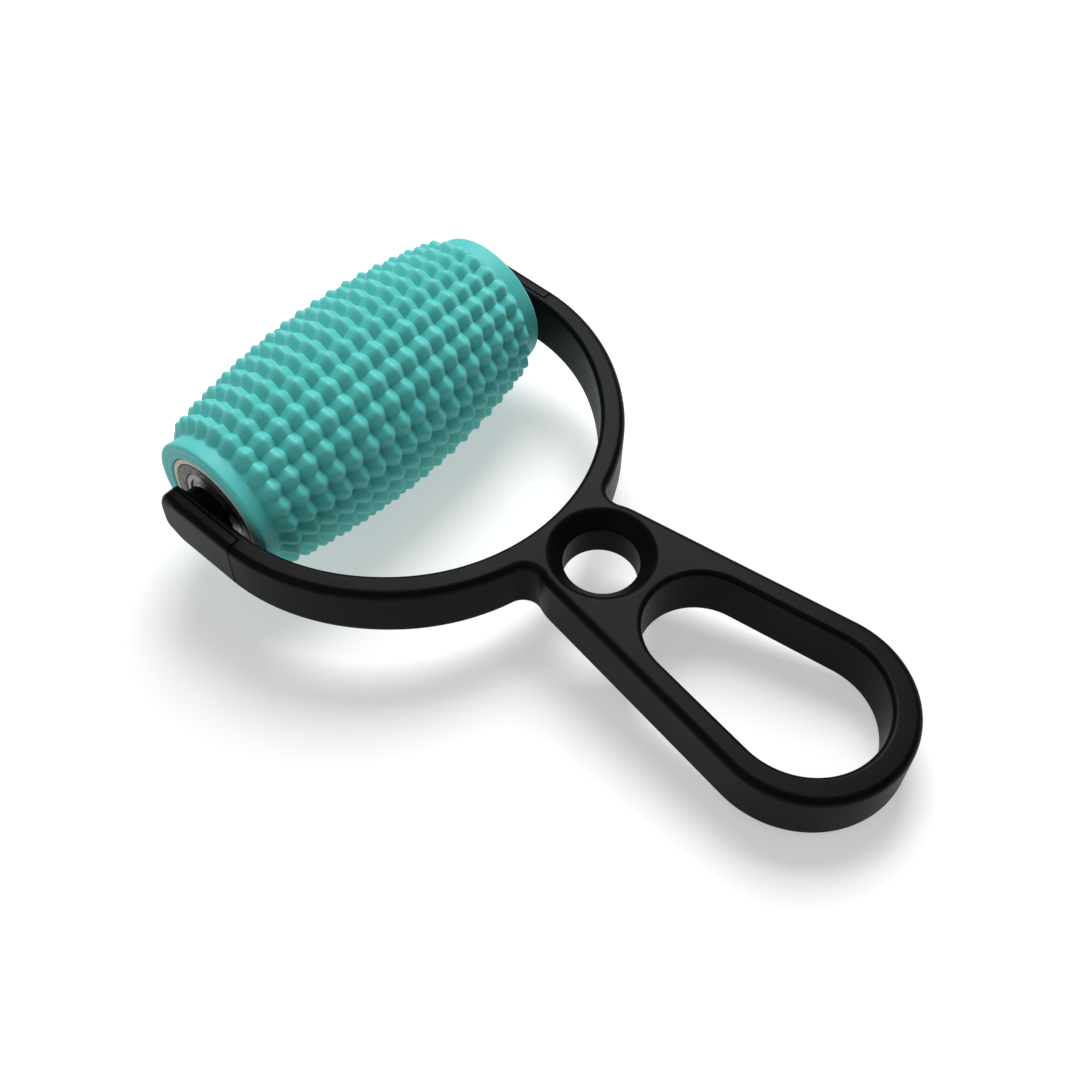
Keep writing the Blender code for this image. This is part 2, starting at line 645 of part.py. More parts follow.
def finger_rings(bm):
    """The finger hole, dished on both faces, as rings from the bottom face to the top."""
    soft = 0.0005
    half_land = FINGER_LAND / 2
    profile = [(FINGER_DISH_RADIUS + soft, -HALF_PLATE),
               (FINGER_DISH_RADIUS - soft, -HALF_PLATE + soft),
               (FINGER_HOLE_RADIUS, -half_land), (FINGER_HOLE_RADIUS, half_land),
               (FINGER_DISH_RADIUS - soft, HALF_PLATE - soft),
               (FINGER_DISH_RADIUS + soft, HALF_PLATE)]
    rings = []
    for radius, z in profile:
        angles = [2 * math.pi * k / ROUND_STEPS for k in range(ROUND_STEPS)]
        rings.append([bm.verts.new((radius * math.cos(a), HUB_Y + radius * math.sin(a), z))
                      for a in angles])
    return rings


def boss_bore_profile():
    """What is cut from each arm: the axle's seat, the screw's hole and the head's pocket."""
    seat = AXLE_RADIUS + PRESS_GAP
    hole = SCREW_RADIUS + SCREW_CLEARANCE
    pocket = WASHER_RADIUS + SCREW_CLEARANCE
    beyond = TONGUE_OUTER + 0.001
    before = BOSS_FACE - 0.001
    return [(before, 0), (before, seat), (CLAMP_WALL_INNER, seat), (CLAMP_WALL_INNER, hole),
            (CLAMP_WALL_OUTER, hole), (CLAMP_WALL_OUTER, pocket), (beyond, pocket), (beyond, 0)]


def make_handle_frame(parent):
    bm = bmesh.new()
    for rings in (yoke_outline().rings(bm), loop_outline().rings(bm), finger_rings(bm)):
        skin(bm, rings)
    cap_both_faces(bm)
    frame = add_piece("handle_frame", bm, "black_plastic", parent)

    sunk = (ARM_INNER + TONGUE_OUTER) / 2
    for side, side_name in ((-1, "left"), (1, "right")):
        boss = turned(mirrored([(BOSS_FACE, 0), (BOSS_FACE, BOSS_RADIUS), (sunk, BOSS_ROOT_RADIUS),
                                (sunk, 0)], side))
        boolean(frame, add_tool(f"{side_name}_boss_tool", boss, parent), "UNION")
        bore = turned(mirrored(boss_bore_profile(), side), steps=24, phase=0.5)
        boolean(frame, add_tool(f"{side_name}_bore_tool", bore, parent), "DIFFERENCE")
        socket_floor = TONGUE_OUTER - PEG_LENGTH - SEAM
        for k, y in enumerate(PEG_FROM_AXLE):
            radius = PEG_RADIUS + PRESS_GAP
            socket = turned(mirrored([(socket_floor, 0), (socket_floor, radius),
                                      (TONGUE_OUTER + 0.001, radius), (TONGUE_OUTER + 0.001, 0)],
                                     side), steps=16)
            tool = add_tool(f"{side_name}_socket_tool_{k + 1}", moved(socket, (0, y, 0)), parent)
            boolean(frame, tool, "DIFFERENCE")
    return frame


def cover_outline(side):
    """One arm's cap plate from above: flush with the arm outside, flat against the tongue."""
    line = Outline()
    edge = OUTER_EDGE_ROUND
    line.add(COVER_INNER, COVER_START)
    line.add(ARM_OUTER, COVER_START, (edge, 0), edge)
    line.add(ARM_OUTER, ARM_TIP - TIP_ROUND, (edge, 0), edge)
    line.add(ARM_OUTER - 0.1 * edge, ARM_TIP - 0.3 * TIP_ROUND, (0.9 * edge, 0.7 * TIP_ROUND),
             0.6 * TIP_ROUND_HEIGHT)
    line.add(ARM_OUTER - 0.5 * edge, ARM_TIP, (0.5 * edge, TIP_ROUND), TIP_ROUND_HEIGHT)
    line.add(COVER_INNER, ARM_TIP, (0, TIP_ROUND), TIP_ROUND_HEIGHT)
    line.points = [(side * x, y, side * ix, iy, h) for x, y, ix, iy, h in line.points]
    return line


def make_arm_cover(name, side, parent):
    bm = bmesh.new()
    skin(bm, cover_outline(side).rings(bm))
    cap_both_faces(bm)
    cover = add_piece(name, bm, "black_plastic", parent)

    pocket_floor = HEAD_OUTER + SEAM
    radius = SCREW_HEAD_RADIUS + HEAD_CLEARANCE
    pocket = turned(mirrored([(COVER_INNER - 0.001, 0), (COVER_INNER - 0.001, radius),
                              (pocket_floor, radius), (pocket_floor, 0)], side), steps=24)
    boolean(cover, add_tool(f"{name}_pocket_tool", pocket, parent), "DIFFERENCE")
    for k, y in enumerate(PEG_FROM_AXLE):
        root = COVER_INNER + 0.001
        end = TONGUE_OUTER - PEG_LENGTH
        peg = turned(mirrored([(end, 0), (end, PEG_RADIUS), (root, PEG_RADIUS), (root, 0)], side),
                     steps=16)
        tool = add_tool(f"{name}_peg_tool_{k + 1}", moved(peg, (0, y, 0)), parent)
        boolean(cover, tool, "UNION")
    return cover


# ---- Resting on the floor --------------------------------------------------------------------

def lowest_when_tilted(points, tilt):
    return min(p.y * math.sin(tilt) + p.z * math.cos(tilt) for p in points)


def rest_tilt(points, axle_height):
    """The angle at which the yoke's points just touch the floor below the axle."""
    low, high = 0.0, math.radians(30)
    for _ in range(40):
        middle = (low + high) / 2
        if lowest_when_tilted(points, middle) > -axle_height:
            low = middle
        else:
            high = middle
    return low


def main():
    clear_scene()
    yoke = empty("yoke")
    roller = empty("roller_axis")
    sleeve = make_sleeve(roller)
    make_core_tube(roller)
    frame = make_handle_frame(yoke)
    make_axle(yoke)
    cages = []
    for side, side_name in ((-1, "left"), (1, "right")):
        make_arm_cover(f"{side_name}_arm_cover", side, yoke)
        make_screw(f"{side_name}_axle_screw", side, yoke)
        make_washer(f"{side_name}_axle_washer", side, yoke)
        make_spacer(f"{side_name}_spacer", side, yoke)
        make_inner_ring(f"{side_name}_bearing_inner_ring", side, yoke)
        make_outer_ring(f"{side_name}_bearing_outer_ring", side, roller)
        make_shield(f"{side_name}_bearing_outer_shield", side, 1, roller)
        make_shield(f"{side_name}_bearing_inner_shield", side, -1, roller)
        make_bearing_seat(f"{side_name}_bearing_seat", side, roller)
        cage_axis = empty(f"{side_name}_cage_axis")
        make_cage(f"{side_name}_bearing_cage", side, cage_axis)
        make_balls(side_name, cage_axis)
        cages.append((side, cage_axis))

    axle_height = -min(v.co.z for v in sleeve.data.vertices)
    points = [v.co for v in frame.data.vertices]
    tilt = rest_tilt(points, axle_height)
    front = max(v.co.y for v in sleeve.data.vertices)
    back = min(p.y * math.cos(tilt) - p.z * math.sin(tilt) for p in points)
    axle = Vector((0.0, -(front + back) / 2, axle_height))
    yoke.matrix_world = Matrix.Translation(axle) @ Matrix.Rotation(tilt, 4, "X")
    roller.matrix_world = Matrix.Translation(axle)
    for side, cage_axis in cages:
        cage_axis.matrix_world = Matrix.Translation(axle + Vector((side * BEARING_CENTRE, 0, 0)))
    bpy.context.view_layer.update()


main()
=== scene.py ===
# %% [markdown]
# # Foot massage roller
#
# This notebook dresses a working model of a foot massage roller. The model is already there: a
# moulded handle with a fork, a steel axle, two ball bearings, and a core tube with a rubber sleeve.
# Its solids have the true sizes, but they are coarse, because they were made to be measured and moved.
# Here each one gets the surface it has on the real object, at the same place and the same size.

# %% Load the model that everything is built around
import json
import math

import bmesh
import bpy
from mathutils import Matrix, Vector


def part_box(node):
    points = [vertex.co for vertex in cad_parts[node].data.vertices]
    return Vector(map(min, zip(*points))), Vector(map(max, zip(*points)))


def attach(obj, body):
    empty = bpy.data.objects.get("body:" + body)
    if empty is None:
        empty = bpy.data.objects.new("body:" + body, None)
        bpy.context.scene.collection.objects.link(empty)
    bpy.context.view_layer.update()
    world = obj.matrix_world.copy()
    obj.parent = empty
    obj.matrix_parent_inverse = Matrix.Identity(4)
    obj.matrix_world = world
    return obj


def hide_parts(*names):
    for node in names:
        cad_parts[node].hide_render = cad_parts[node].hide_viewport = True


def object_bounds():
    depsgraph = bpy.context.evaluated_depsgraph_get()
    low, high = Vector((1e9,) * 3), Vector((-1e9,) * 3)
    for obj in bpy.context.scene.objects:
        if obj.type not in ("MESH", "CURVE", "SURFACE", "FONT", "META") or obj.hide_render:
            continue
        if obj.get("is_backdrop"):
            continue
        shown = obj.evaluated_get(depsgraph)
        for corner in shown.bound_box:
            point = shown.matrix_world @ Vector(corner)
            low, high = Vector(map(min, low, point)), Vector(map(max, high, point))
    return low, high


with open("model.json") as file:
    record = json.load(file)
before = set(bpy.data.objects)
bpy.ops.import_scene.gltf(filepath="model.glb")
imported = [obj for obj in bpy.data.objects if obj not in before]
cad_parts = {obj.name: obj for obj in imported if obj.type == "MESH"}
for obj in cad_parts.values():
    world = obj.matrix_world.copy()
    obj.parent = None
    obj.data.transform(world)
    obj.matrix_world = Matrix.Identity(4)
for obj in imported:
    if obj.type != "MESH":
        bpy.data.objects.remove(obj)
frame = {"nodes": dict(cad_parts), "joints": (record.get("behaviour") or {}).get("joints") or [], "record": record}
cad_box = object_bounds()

print("nodes:", len(frame["nodes"]), "in a box of",
      [round(1000 * (hi - lo), 1) for lo, hi in zip(*cad_box)], "mm")

# %% [markdown]
# ## Two sets of directions
#
# The roller turns about the axle, which lies along X. The handle is a flat plate that leans on the
# floor, so its own "up" isn't the world's. We read both from the model: the spin joint says where
# the axle is, and the flat face beside the finger hole says which way the plate faces. With those we
# can draw the handle flat on paper, as a toolmaker would, and lay it in place with one matrix.

# %% Read the axle's place and the plate's tilt
joints = {joint["name"]: joint for joint in frame["joints"]}
AXLE = Vector(joints["roller_spin"]["pos_m"])
mounts = {mount["name"]: mount for mount in frame["record"]["mounts"]}
PLATE_UP = Vector(mounts["hub_top_face"]["axis"]).normalized()
TILT = math.atan2(-PLATE_UP.y, PLATE_UP.z)
YOKE = Matrix.Translation(AXLE) @ Matrix.Rotation(TILT, 4, "X")
AXLE_LINE = Matrix.Translation(AXLE)
print("axle at", [round(1000 * c, 2) for c in AXLE], "mm, plate tilted", round(math.degrees(TILT), 2),
      "degrees")

# %% [markdown]
# ## A camera and a floor
#
# A product picture is usually taken from above one corner with a short telephoto lens. The floor is a
# plain pale sheet, far larger than the view. It isn't part of the object, so it is staged.

# %% Set up the camera
VIEW_AZIMUTH, VIEW_ELEVATION, VIEW_ROLL = (math.radians(a) for a in (-43.88, 49.27, -6.20))
VIEW_TARGET = Vector((-0.00547, 0.00198, 0.02513))
VIEW_DISTANCE = 0.3544
LENS_MM, SENSOR_MM = 45.785, 36.0
NEAREST, FARTHEST = 0.01, 20.0

back = Vector((math.sin(VIEW_AZIMUTH) * math.cos(VIEW_ELEVATION),
               -math.cos(VIEW_AZIMUTH) * math.cos(VIEW_ELEVATION), math.sin(VIEW_ELEVATION)))
level = Vector((math.cos(VIEW_AZIMUTH), math.sin(VIEW_AZIMUTH), 0.0))
turn = Matrix.Rotation(VIEW_ROLL, 3, back)
right, up = turn @ level, turn @ back.cross(level)
camera = bpy.data.objects.new("product_camera", bpy.data.cameras.new("product_camera"))
camera.data.lens, camera.data.sensor_width = LENS_MM, SENSOR_MM
camera.data.clip_start, camera.data.clip_end = NEAREST, FARTHEST
camera.matrix_world = Matrix.Translation(VIEW_TARGET + VIEW_DISTANCE * back) @ Matrix(
    (right, up, back)).transposed().to_4x4()
bpy.context.scene.collection.objects.link(camera)
bpy.context.scene.camera = camera
print("camera at", [round(c, 3) for c in camera.matrix_world.translation])

# %% [markdown]
# ## Turning a profile
#
# Rings, tubes, washers and screws are lathe work: a profile drawn once and swept round an axis. The
# Screw modifier does this too, but a small function gives us the corners we want. No real edge is
# perfectly sharp, so `eased` cuts every corner of the profile with a small curve first. It also
# notes how exposed each point is, in an attribute called "edge", which the finishes read later on.

# %% Helpers for pieces and turned shapes
WELD = 1e-6
SMOOTH_UP_TO = math.radians(38)


def piece_from(bm, name, body, nodes, finish, place=None):
    """Turn a bmesh into a piece that rides on a body and stands for the coarse solids."""
    if place is not None:
        bmesh.ops.transform(bm, matrix=place, verts=bm.verts)
    bmesh.ops.remove_doubles(bm, verts=bm.verts, dist=WELD)
    bmesh.ops.recalc_face_normals(bm, faces=bm.faces)
    mesh = bpy.data.meshes.new(name)
    bm.to_mesh(mesh)
    bm.free()
    mesh.shade_smooth()
    mesh.set_sharp_from_angle(angle=SMOOTH_UP_TO)
    mesh.materials.append(finish)
    piece = bpy.data.objects.new(name, mesh)
    bpy.context.scene.collection.objects.link(piece)
    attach(piece, body)
    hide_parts(*nodes)
    return piece


def edge_layer(bm):
    """The layer that notes how exposed each vertex is, from 0 to 1."""
    return bm.verts.layers.float.get("edge") or bm.verts.layers.float.new("edge")


def eased(corners, size, steps=3, closed=True):
    """Cut each corner of an (x, radius) profile with a small curve; gives (x, radius, edge)."""
    points = []
    count = len(corners)
    for k, corner in enumerate(corners):
        here = Vector(corner[:2])
        own = corner[2] if len(corner) > 2 else size
        if (not closed and k in (0, count - 1)) or own == 0:
            points.append((here.x, here.y, 0.0))
            continue
        before, after = Vector(corners[k - 1][:2]) - here, Vector(corners[(k + 1) % count][:2]) - here
        cut = min(own, 0.45 * before.length, 0.45 * after.length)
        start, end = here + cut * before.normalized(), here + cut * after.normalized()
        for i in range(steps + 1):
            t = i / steps
            p = (1 - t) ** 2 * start + 2 * t * (1 - t) * here + t * t * end
            points.append((p.x, p.y, math.sin(math.pi * t)))
    return points


def join_rings(bm, first, second):
    """Fill the band between two rings of vertices; a ring of one vertex gives a fan."""
    count = max(len(first), len(second))
    for i in range(count):
        j = (i + 1) % count
        if len(first) == 1:
            bm.faces.new((first[0], second[i], second[j]))
        elif len(second) == 1:
            bm.faces.new((first[i], first[j], second[0]))
        else:
            bm.faces.new((first[i], first[j], second[j], second[i]))


def skin(bm, rings, closed=False):
    """Join each ring to the next one; closed joins the last one to the first as well."""
    for first, second in zip(rings, rings[1:] + (rings[:1] if closed else [])):
        join_rings(bm, first, second)


def vertex_ring(bm, steps, place, exposed=0.0):
    """A ring of vertices, each at place(angle)."""
    edge = edge_layer(bm)
    ring = []
    for k in range(steps):
        vertex = bm.verts.new(place(2 * math.pi * k / steps))
        vertex[edge] = exposed
        ring.append(vertex)
    return ring


def around_x(x, radius):
    """A rule that gives the point at an angle on a circle about the X axis."""
    return lambda angle: (x, radius * math.cos(angle), radius * math.sin(angle))


def turned(profile, steps=128, closed=True):
    """Sweep (x, radius, edge) points round the X axis; a radius of 0 closes the shape."""
    bm = bmesh.new()
    rings = [vertex_ring(bm, 1 if radius == 0 else steps, around_x(x, radius), exposed)
             for x, radius, exposed in profile]
    skin(bm, rings, closed)
    return bm


def flipped(profile, side):
    """Turn a profile round to the left side when side is -1."""
    return [(side * point[0], *point[1:]) for point in profile]


def radius_of(node):
    """Radius of a coarse solid that was turned about the axle."""
    low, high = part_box(node)
    return (high.z - low.z) / 2


print("a square profile of 4 corners, eased, has", len(eased([(0, 1), (0, 2), (1, 2), (1, 1)], 0.1)),
      "points")

# %% [markdown]
# ## Effects shared by the finishes
#
# Five small node groups hold what more than one finish uses. `moulded_grain` is the fine spark texture
# that a mould leaves on plastic and rubber. `handled_edges` finds the edges that hands and cloths
# polish, from the "edge" attribute. `turning_marks` draws the fine circles of a lathe or a grinder
# round the axle's line. `mottle` makes the uneven tone of filled plastic, and `fine_scratches` the
# hairlines that every used surface has. A group gives out masks, values and heights only; each
# material then decides what they mean for it.

# %% Helpers for node trees
def wire(tree, source, target):
    tree.links.new(source, target)


def put(tree, kind, values=(), **settings):
    """Add a node; settings are its properties, and values are its inputs by name or number."""
    node = tree.nodes.new(kind)
    for key, value in settings.items():
        setattr(node, key, value)
    for key, value in dict(values).items():
        node.inputs[key].default_value = value
    return node


def start_group(name, inputs, outputs):
    """A shader node group with named float inputs (name: default) and float outputs."""
    group = bpy.data.node_groups.new(name, "ShaderNodeTree")
    for label, value in inputs.items():
        socket = group.interface.new_socket(label, in_out="INPUT", socket_type="NodeSocketFloat")
        socket.default_value = value
    for label in outputs:
        group.interface.new_socket(label, in_out="OUTPUT", socket_type="NodeSocketFloat")
    return group, group.nodes.new("NodeGroupInput"), group.nodes.new("NodeGroupOutput")


def use_group(tree, name, **values):
    """Place a group in a material; grain_size=1 sets its input "Grain size"."""
    node = tree.nodes.new("ShaderNodeGroup")
    node.node_tree = bpy.data.node_groups[name]
    for key, value in values.items():
        node.inputs[key.replace("_", " ").capitalize()].default_value = value
    return node


def spread(tree, source, low, high, new_low=0.0, new_high=1.0):
    """Map a value's range onto another."""
    node = put(tree, "ShaderNodeMapRange", {"From Min": low, "From Max": high, "To Min": new_low,
                                            "To Max": new_high})
    wire(tree, source, node.inputs["Value"])
    return node.outputs["Result"]


def feed(tree, socket, term):
    """Give a socket a plain value, or wire another node's output to it."""
    if isinstance(term, bpy.types.NodeSocket):
        wire(tree, term, socket)
    else:
        socket.default_value = term


def work_out(tree, operation, first, second):
    """One step of arithmetic; each term is a number or another node's output."""
    node = put(tree, "ShaderNodeMath", operation=operation)
    feed(tree, node.inputs[0], first)
    feed(tree, node.inputs[1], second)
    return node.outputs[0]


def noise(tree, place, scale, **values):
    """Soft random waves over the object; scale is the waves in a metre."""
    node = put(tree, "ShaderNodeTexNoise", values)
    wire(tree, place, node.inputs["Vector"])
    wire(tree, scale, node.inputs["Scale"])
    return node.outputs["Fac"]


def object_place(tree):
    return put(tree, "ShaderNodeTexCoord").outputs["Object"]


print("node helpers ready")

# %% Moulded grain
def make_moulded_grain():
    group, given, out = start_group("moulded_grain", {"Grain size": 0.0003, "Patch size": 0.012},
                                    ["Height", "Patches"])
    place = object_place(group)
    for size, label, detail in (("Grain size", "Height", 2.0), ("Patch size", "Patches", 3.0)):
        scale = work_out(group, "DIVIDE", 1.0, given.outputs[size])
        waves = noise(group, place, scale, Detail=detail, Roughness=0.55)
        wire(group, spread(group, waves, 0.3, 0.7), out.inputs[label])
    return group


grain = make_moulded_grain()
print(grain.name, "gives", [s.name for s in grain.interface.items_tree if s.in_out == "OUTPUT"])

# %% Handled edges
def make_handled_edges():
    group, given, out = start_group("handled_edges", {"Patch size": 0.006, "Break up": 0.5}, ["Mask"])
    exposed = put(group, "ShaderNodeAttribute", attribute_name="edge").outputs["Fac"]
    scale = work_out(group, "DIVIDE", 1.0, given.outputs["Patch size"])
    patches = spread(group, noise(group, object_place(group), scale, Detail=4.0), 0.35, 0.65)
    thinned = work_out(group, "MULTIPLY", patches, given.outputs["Break up"])
    kept = work_out(group, "SUBTRACT", 1.0, thinned)
    wire(group, work_out(group, "MULTIPLY", exposed, kept), out.inputs["Mask"])
    return group


edges = make_handled_edges()
print(edges.name, "reads the edge attribute")

# %% Turning marks
def make_turning_marks():
    group, given, out = start_group("turning_marks", {"Mark width": 0.0001}, ["Height", "Streaks"])
    from_axle = put(group, "ShaderNodeVectorMath", {1: AXLE}, operation="SUBTRACT")
    wire(group, object_place(group), from_axle.inputs[0])
    across = put(group, "ShaderNodeVectorMath", {1: (0.0, 1.0, 1.0)}, operation="MULTIPLY")
    wire(group, from_axle.outputs[0], across.inputs[0])
    radius = put(group, "ShaderNodeVectorMath", operation="LENGTH")
    wire(group, across.outputs[0], radius.inputs[0])
    along = put(group, "ShaderNodeSeparateXYZ")
    wire(group, from_axle.outputs[0], along.inputs[0])
    position = put(group, "ShaderNodeCombineXYZ")
    wire(group, radius.outputs["Value"], position.inputs[0])
    wire(group, along.outputs["X"], position.inputs[1])
    scale = work_out(group, "DIVIDE", 1.0, given.outputs["Mark width"])
    for label, detail, share in (("Height", 2.0, 1.0), ("Streaks", 4.0, 0.25)):
        coarser = work_out(group, "MULTIPLY", scale, share)
        circles = noise(group, position.outputs[0], coarser, Detail=detail)
        wire(group, spread(group, circles, 0.3, 0.7), out.inputs[label])
    return group


marks = make_turning_marks()
print(marks.name, "circles the axle's line at", [round(c, 4) for c in AXLE])

# %% Mottle and fine scratches
def make_mottle():
    group, given, out = start_group("mottle", {"Fleck size": 0.0009}, ["Flecks", "Clouds"])
    place = object_place(group)
    scale = work_out(group, "DIVIDE", 1.0, given.outputs["Fleck size"])
    cells = put(group, "ShaderNodeTexVoronoi", feature="SMOOTH_F1")
    wire(group, place, cells.inputs["Vector"])
    wire(group, scale, cells.inputs["Scale"])
    clouds = noise(group, place, work_out(group, "MULTIPLY", scale, 0.35), Detail=5.0, Roughness=0.65)
    wire(group, spread(group, cells.outputs["Distance"], 0.55, 0.15), out.inputs["Flecks"])
    wire(group, spread(group, clouds, 0.35, 0.68), out.inputs["Clouds"])
    return group


def make_fine_scratches():
    group, given, out = start_group("fine_scratches", {"Spacing": 0.004}, ["Lines"])
    place = object_place(group)
    scale = work_out(group, "DIVIDE", 1.0, given.outputs["Spacing"])
    layers = []
    for turn_by, stretch in (((0.3, 0.2, 0.7), (1.0, 14.0, 4.0)), ((0.1, 0.6, 2.1), (11.0, 1.0, 3.0))):
        bent = put(group, "ShaderNodeMapping", {"Rotation": turn_by, "Scale": stretch})
        wire(group, place, bent.inputs["Vector"])
        streaks = noise(group, bent.outputs[0], scale, Detail=1.0, Distortion=0.4)
        layers.append(spread(group, streaks, 0.66, 0.72))
    wire(group, work_out(group, "MAXIMUM", *layers), out.inputs["Lines"])
    return group


for made in (make_mottle(), make_fine_scratches()):
    print(made.name, "gives", [s.name for s in made.interface.items_tree if s.in_out == "OUTPUT"])

# %% [markdown]
# ## The finishes
#
# Each finish starts as a Principled BSDF. What is the same all over is set on the shader itself. What
# changes over the surface comes from the groups: two tones mixed by patches, a roughness that drops
# where hands polish the edges, and a bump from the grain.

# %% Helpers that every finish uses
def start_finish(name, **uniform):
    """A material with its Principled shader; uniform values are set on the shader's own sockets."""
    material = bpy.data.materials.new(name)
    material.use_nodes = True
    tree = material.node_tree
    shader = tree.nodes["Principled BSDF"]
    for key, value in uniform.items():
        shader.inputs[key.replace("_", " ")].default_value = value
    return material, tree, shader


def two_tones(tree, factor, first, second):
    """Mix two colours; each is (red, green, blue) or another node's output."""
    mix = put(tree, "ShaderNodeMix", data_type="RGBA")
    for socket, colour in zip((s for s in mix.inputs if s.type == "RGBA"), (first, second)):
        feed(tree, socket, colour if isinstance(colour, bpy.types.NodeSocket) else (*colour, 1.0))
    wire(tree, factor, mix.inputs["Factor"])
    return next(s for s in mix.outputs if s.type == "RGBA")


def worn_roughness(tree, shader, base, wear, polish, lines, scratch):
    """Roughness that drops by polish on handled edges and rises by scratch along the hairlines."""
    polished = work_out(tree, "SUBTRACT", base, spread(tree, wear.outputs["Mask"], 0, 1, 0, polish))
    scratched = work_out(tree, "ADD", polished, spread(tree, lines.outputs["Lines"], 0, 1, 0, scratch))
    wire(tree, scratched, shader.inputs["Roughness"])


def raised(tree, shader, height, depth):
    """Feed a height in metres of depth to the shader's normal."""
    bump = put(tree, "ShaderNodeBump", {"Strength": 1.0, "Distance": depth})
    wire(tree, height, bump.inputs["Height"])
    wire(tree, bump.outputs["Normal"], shader.inputs["Normal"])


print("finish helpers ready")

# %% [markdown]
# ### Black plastic
#
# The handle and the arm caps are one satin black plastic, probably glass-filled nylon or ABS from a
# spark-textured mould. It is very dark, so what the eye reads is its sheen: a broad soft reflection on
# the flats, a little tighter along the edges that hands have polished.

# %% Black plastic
def make_black_plastic(name, dark, light, roughness):
    material, tree, shader = start_finish(name, IOR=1.47, Specular_IOR_Level=0.06)
    grain = use_group(tree, "moulded_grain", grain_size=0.00022, patch_size=0.018)
    wear = use_group(tree, "handled_edges", patch_size=0.008, break_up=0.55)
    lines = use_group(tree, "fine_scratches", spacing=0.006)
    wire(tree, two_tones(tree, grain.outputs["Patches"], dark, light), shader.inputs["Base Color"])
    base = spread(tree, grain.outputs["Patches"], 0.0, 1.0, roughness - 0.03, roughness + 0.03)
    worn_roughness(tree, shader, base, wear, 0.08, lines, 0.04)
    raised(tree, shader, grain.outputs["Height"], 0.000006)
    return material


frame_black = make_black_plastic("frame_black", (0.0020, 0.0020, 0.0025), (0.0034, 0.0034, 0.0041),
                                 roughness=0.42)
cap_black = make_black_plastic("cap_black", (0.0026, 0.0026, 0.0031), (0.0042, 0.0042, 0.0048),
                               roughness=0.40)
print("made", frame_black.name, "and", cap_black.name)

# %% [markdown]
# ### Teal rubber
#
# The sleeve is a soft thermoplastic rubber. It is matt and evenly coloured. A deeper teal is painted into
# the valleys as shade, and the tips of the bumps are paler, partly from wear and partly as painted light.
# The "edge" attribute holds how high a point is on its bump, so the same group that finds handled
# edges finds the tips.

# %% Teal rubber
def make_teal_rubber():
    material, tree, shader = start_finish("teal_rubber", IOR=1.45, Specular_IOR_Level=0.4,
                                          Sheen_Weight=0.12, Sheen_Roughness=0.5)
    grain = use_group(tree, "moulded_grain", grain_size=0.00035, patch_size=0.02)
    tips = use_group(tree, "handled_edges", patch_size=0.010, break_up=0.35)
    # painted shade: the deeper teal lies in the valleys, and the mix below makes it paler on the tips, partly wear
    # and partly painted light
    painted_valley_shade = two_tones(tree, grain.outputs["Patches"], (0.066, 0.458, 0.432), (0.073, 0.478, 0.452))
    shaded_valleys_to_lit_worn_tips = two_tones(tree, tips.outputs["Mask"], painted_valley_shade, (0.092, 0.500, 0.471))
    wire(tree, shaded_valleys_to_lit_worn_tips, shader.inputs["Base Color"])
    wire(tree, spread(tree, tips.outputs["Mask"], 0.0, 1.0, 0.56, 0.46), shader.inputs["Roughness"])
    raised(tree, shader, grain.outputs["Height"], 0.000010)
    return material


teal_rubber = make_teal_rubber()
print("made", teal_rubber.name)

# %% [markdown]
# ### Cream tube and bearing seats
#
# The core tube is an uncoloured, creamy pipe plastic with a smooth extruded skin and lathe marks on its
# cut ends. The seats are a dark grey filled plastic, whose fibres leave a mottled, slightly shiny face.

# %% Tube and seat plastics
def make_cream_plastic():
    material, tree, shader = start_finish("cream_plastic", IOR=1.5, Subsurface_Weight=0.05)
    cuts = use_group(tree, "turning_marks", mark_width=0.00012)
    grain = use_group(tree, "moulded_grain", grain_size=0.0006, patch_size=0.006)
    wire(tree, two_tones(tree, grain.outputs["Patches"], (0.50, 0.43, 0.34), (0.60, 0.53, 0.43)),
         shader.inputs["Base Color"])
    wire(tree, spread(tree, cuts.outputs["Streaks"], 0.0, 1.0, 0.36, 0.52), shader.inputs["Roughness"])
    raised(tree, shader, cuts.outputs["Height"], 0.000008)
    return material


def make_seat_plastic():
    material, tree, shader = start_finish("seat_plastic", IOR=1.5, Specular_IOR_Level=0.3)
    mottle = use_group(tree, "mottle", fleck_size=0.0011)
    grain = use_group(tree, "moulded_grain", grain_size=0.0004, patch_size=0.004)
    wire(tree, two_tones(tree, mottle.outputs["Clouds"], (0.010, 0.010, 0.011), (0.080, 0.078, 0.076)),
         shader.inputs["Base Color"])
    wire(tree, spread(tree, mottle.outputs["Flecks"], 0.0, 1.0, 0.30, 0.55), shader.inputs["Roughness"])
    raised(tree, shader, grain.outputs["Height"], 0.000020)
    return material


cream_plastic = make_cream_plastic()
seat_plastic = make_seat_plastic()
print("made", cream_plastic.name, "and", seat_plastic.name)

# %% [markdown]
# ### Steels
#
# Ground bearing rings, pressed shields, polished balls, a drawn axle and zinc-plated fasteners are all
# steel, but each was finished in its own way. They share the turning marks, at different widths and
# depths, and differ in tone and in how tight their reflections are. The bearing rings and shields are
# painted much darker than bare steel: painted shade for the dim recess in each end of the roller.

# %% Steels
def make_steel(name, dark, light, smooth, rough, mark_width, depth):
    material, tree, shader = start_finish(name, Metallic=1.0)
    cuts = use_group(tree, "turning_marks", mark_width=mark_width)
    wear = use_group(tree, "handled_edges", patch_size=0.002, break_up=0.4)
    lines = use_group(tree, "fine_scratches", spacing=0.002)
    wire(tree, two_tones(tree, cuts.outputs["Streaks"], dark, light), shader.inputs["Base Color"])
    base = spread(tree, cuts.outputs["Streaks"], 0.0, 1.0, rough, smooth)
    worn_roughness(tree, shader, base, wear, 0.06, lines, 0.06)
    raised(tree, shader, cuts.outputs["Height"], depth)
    return material


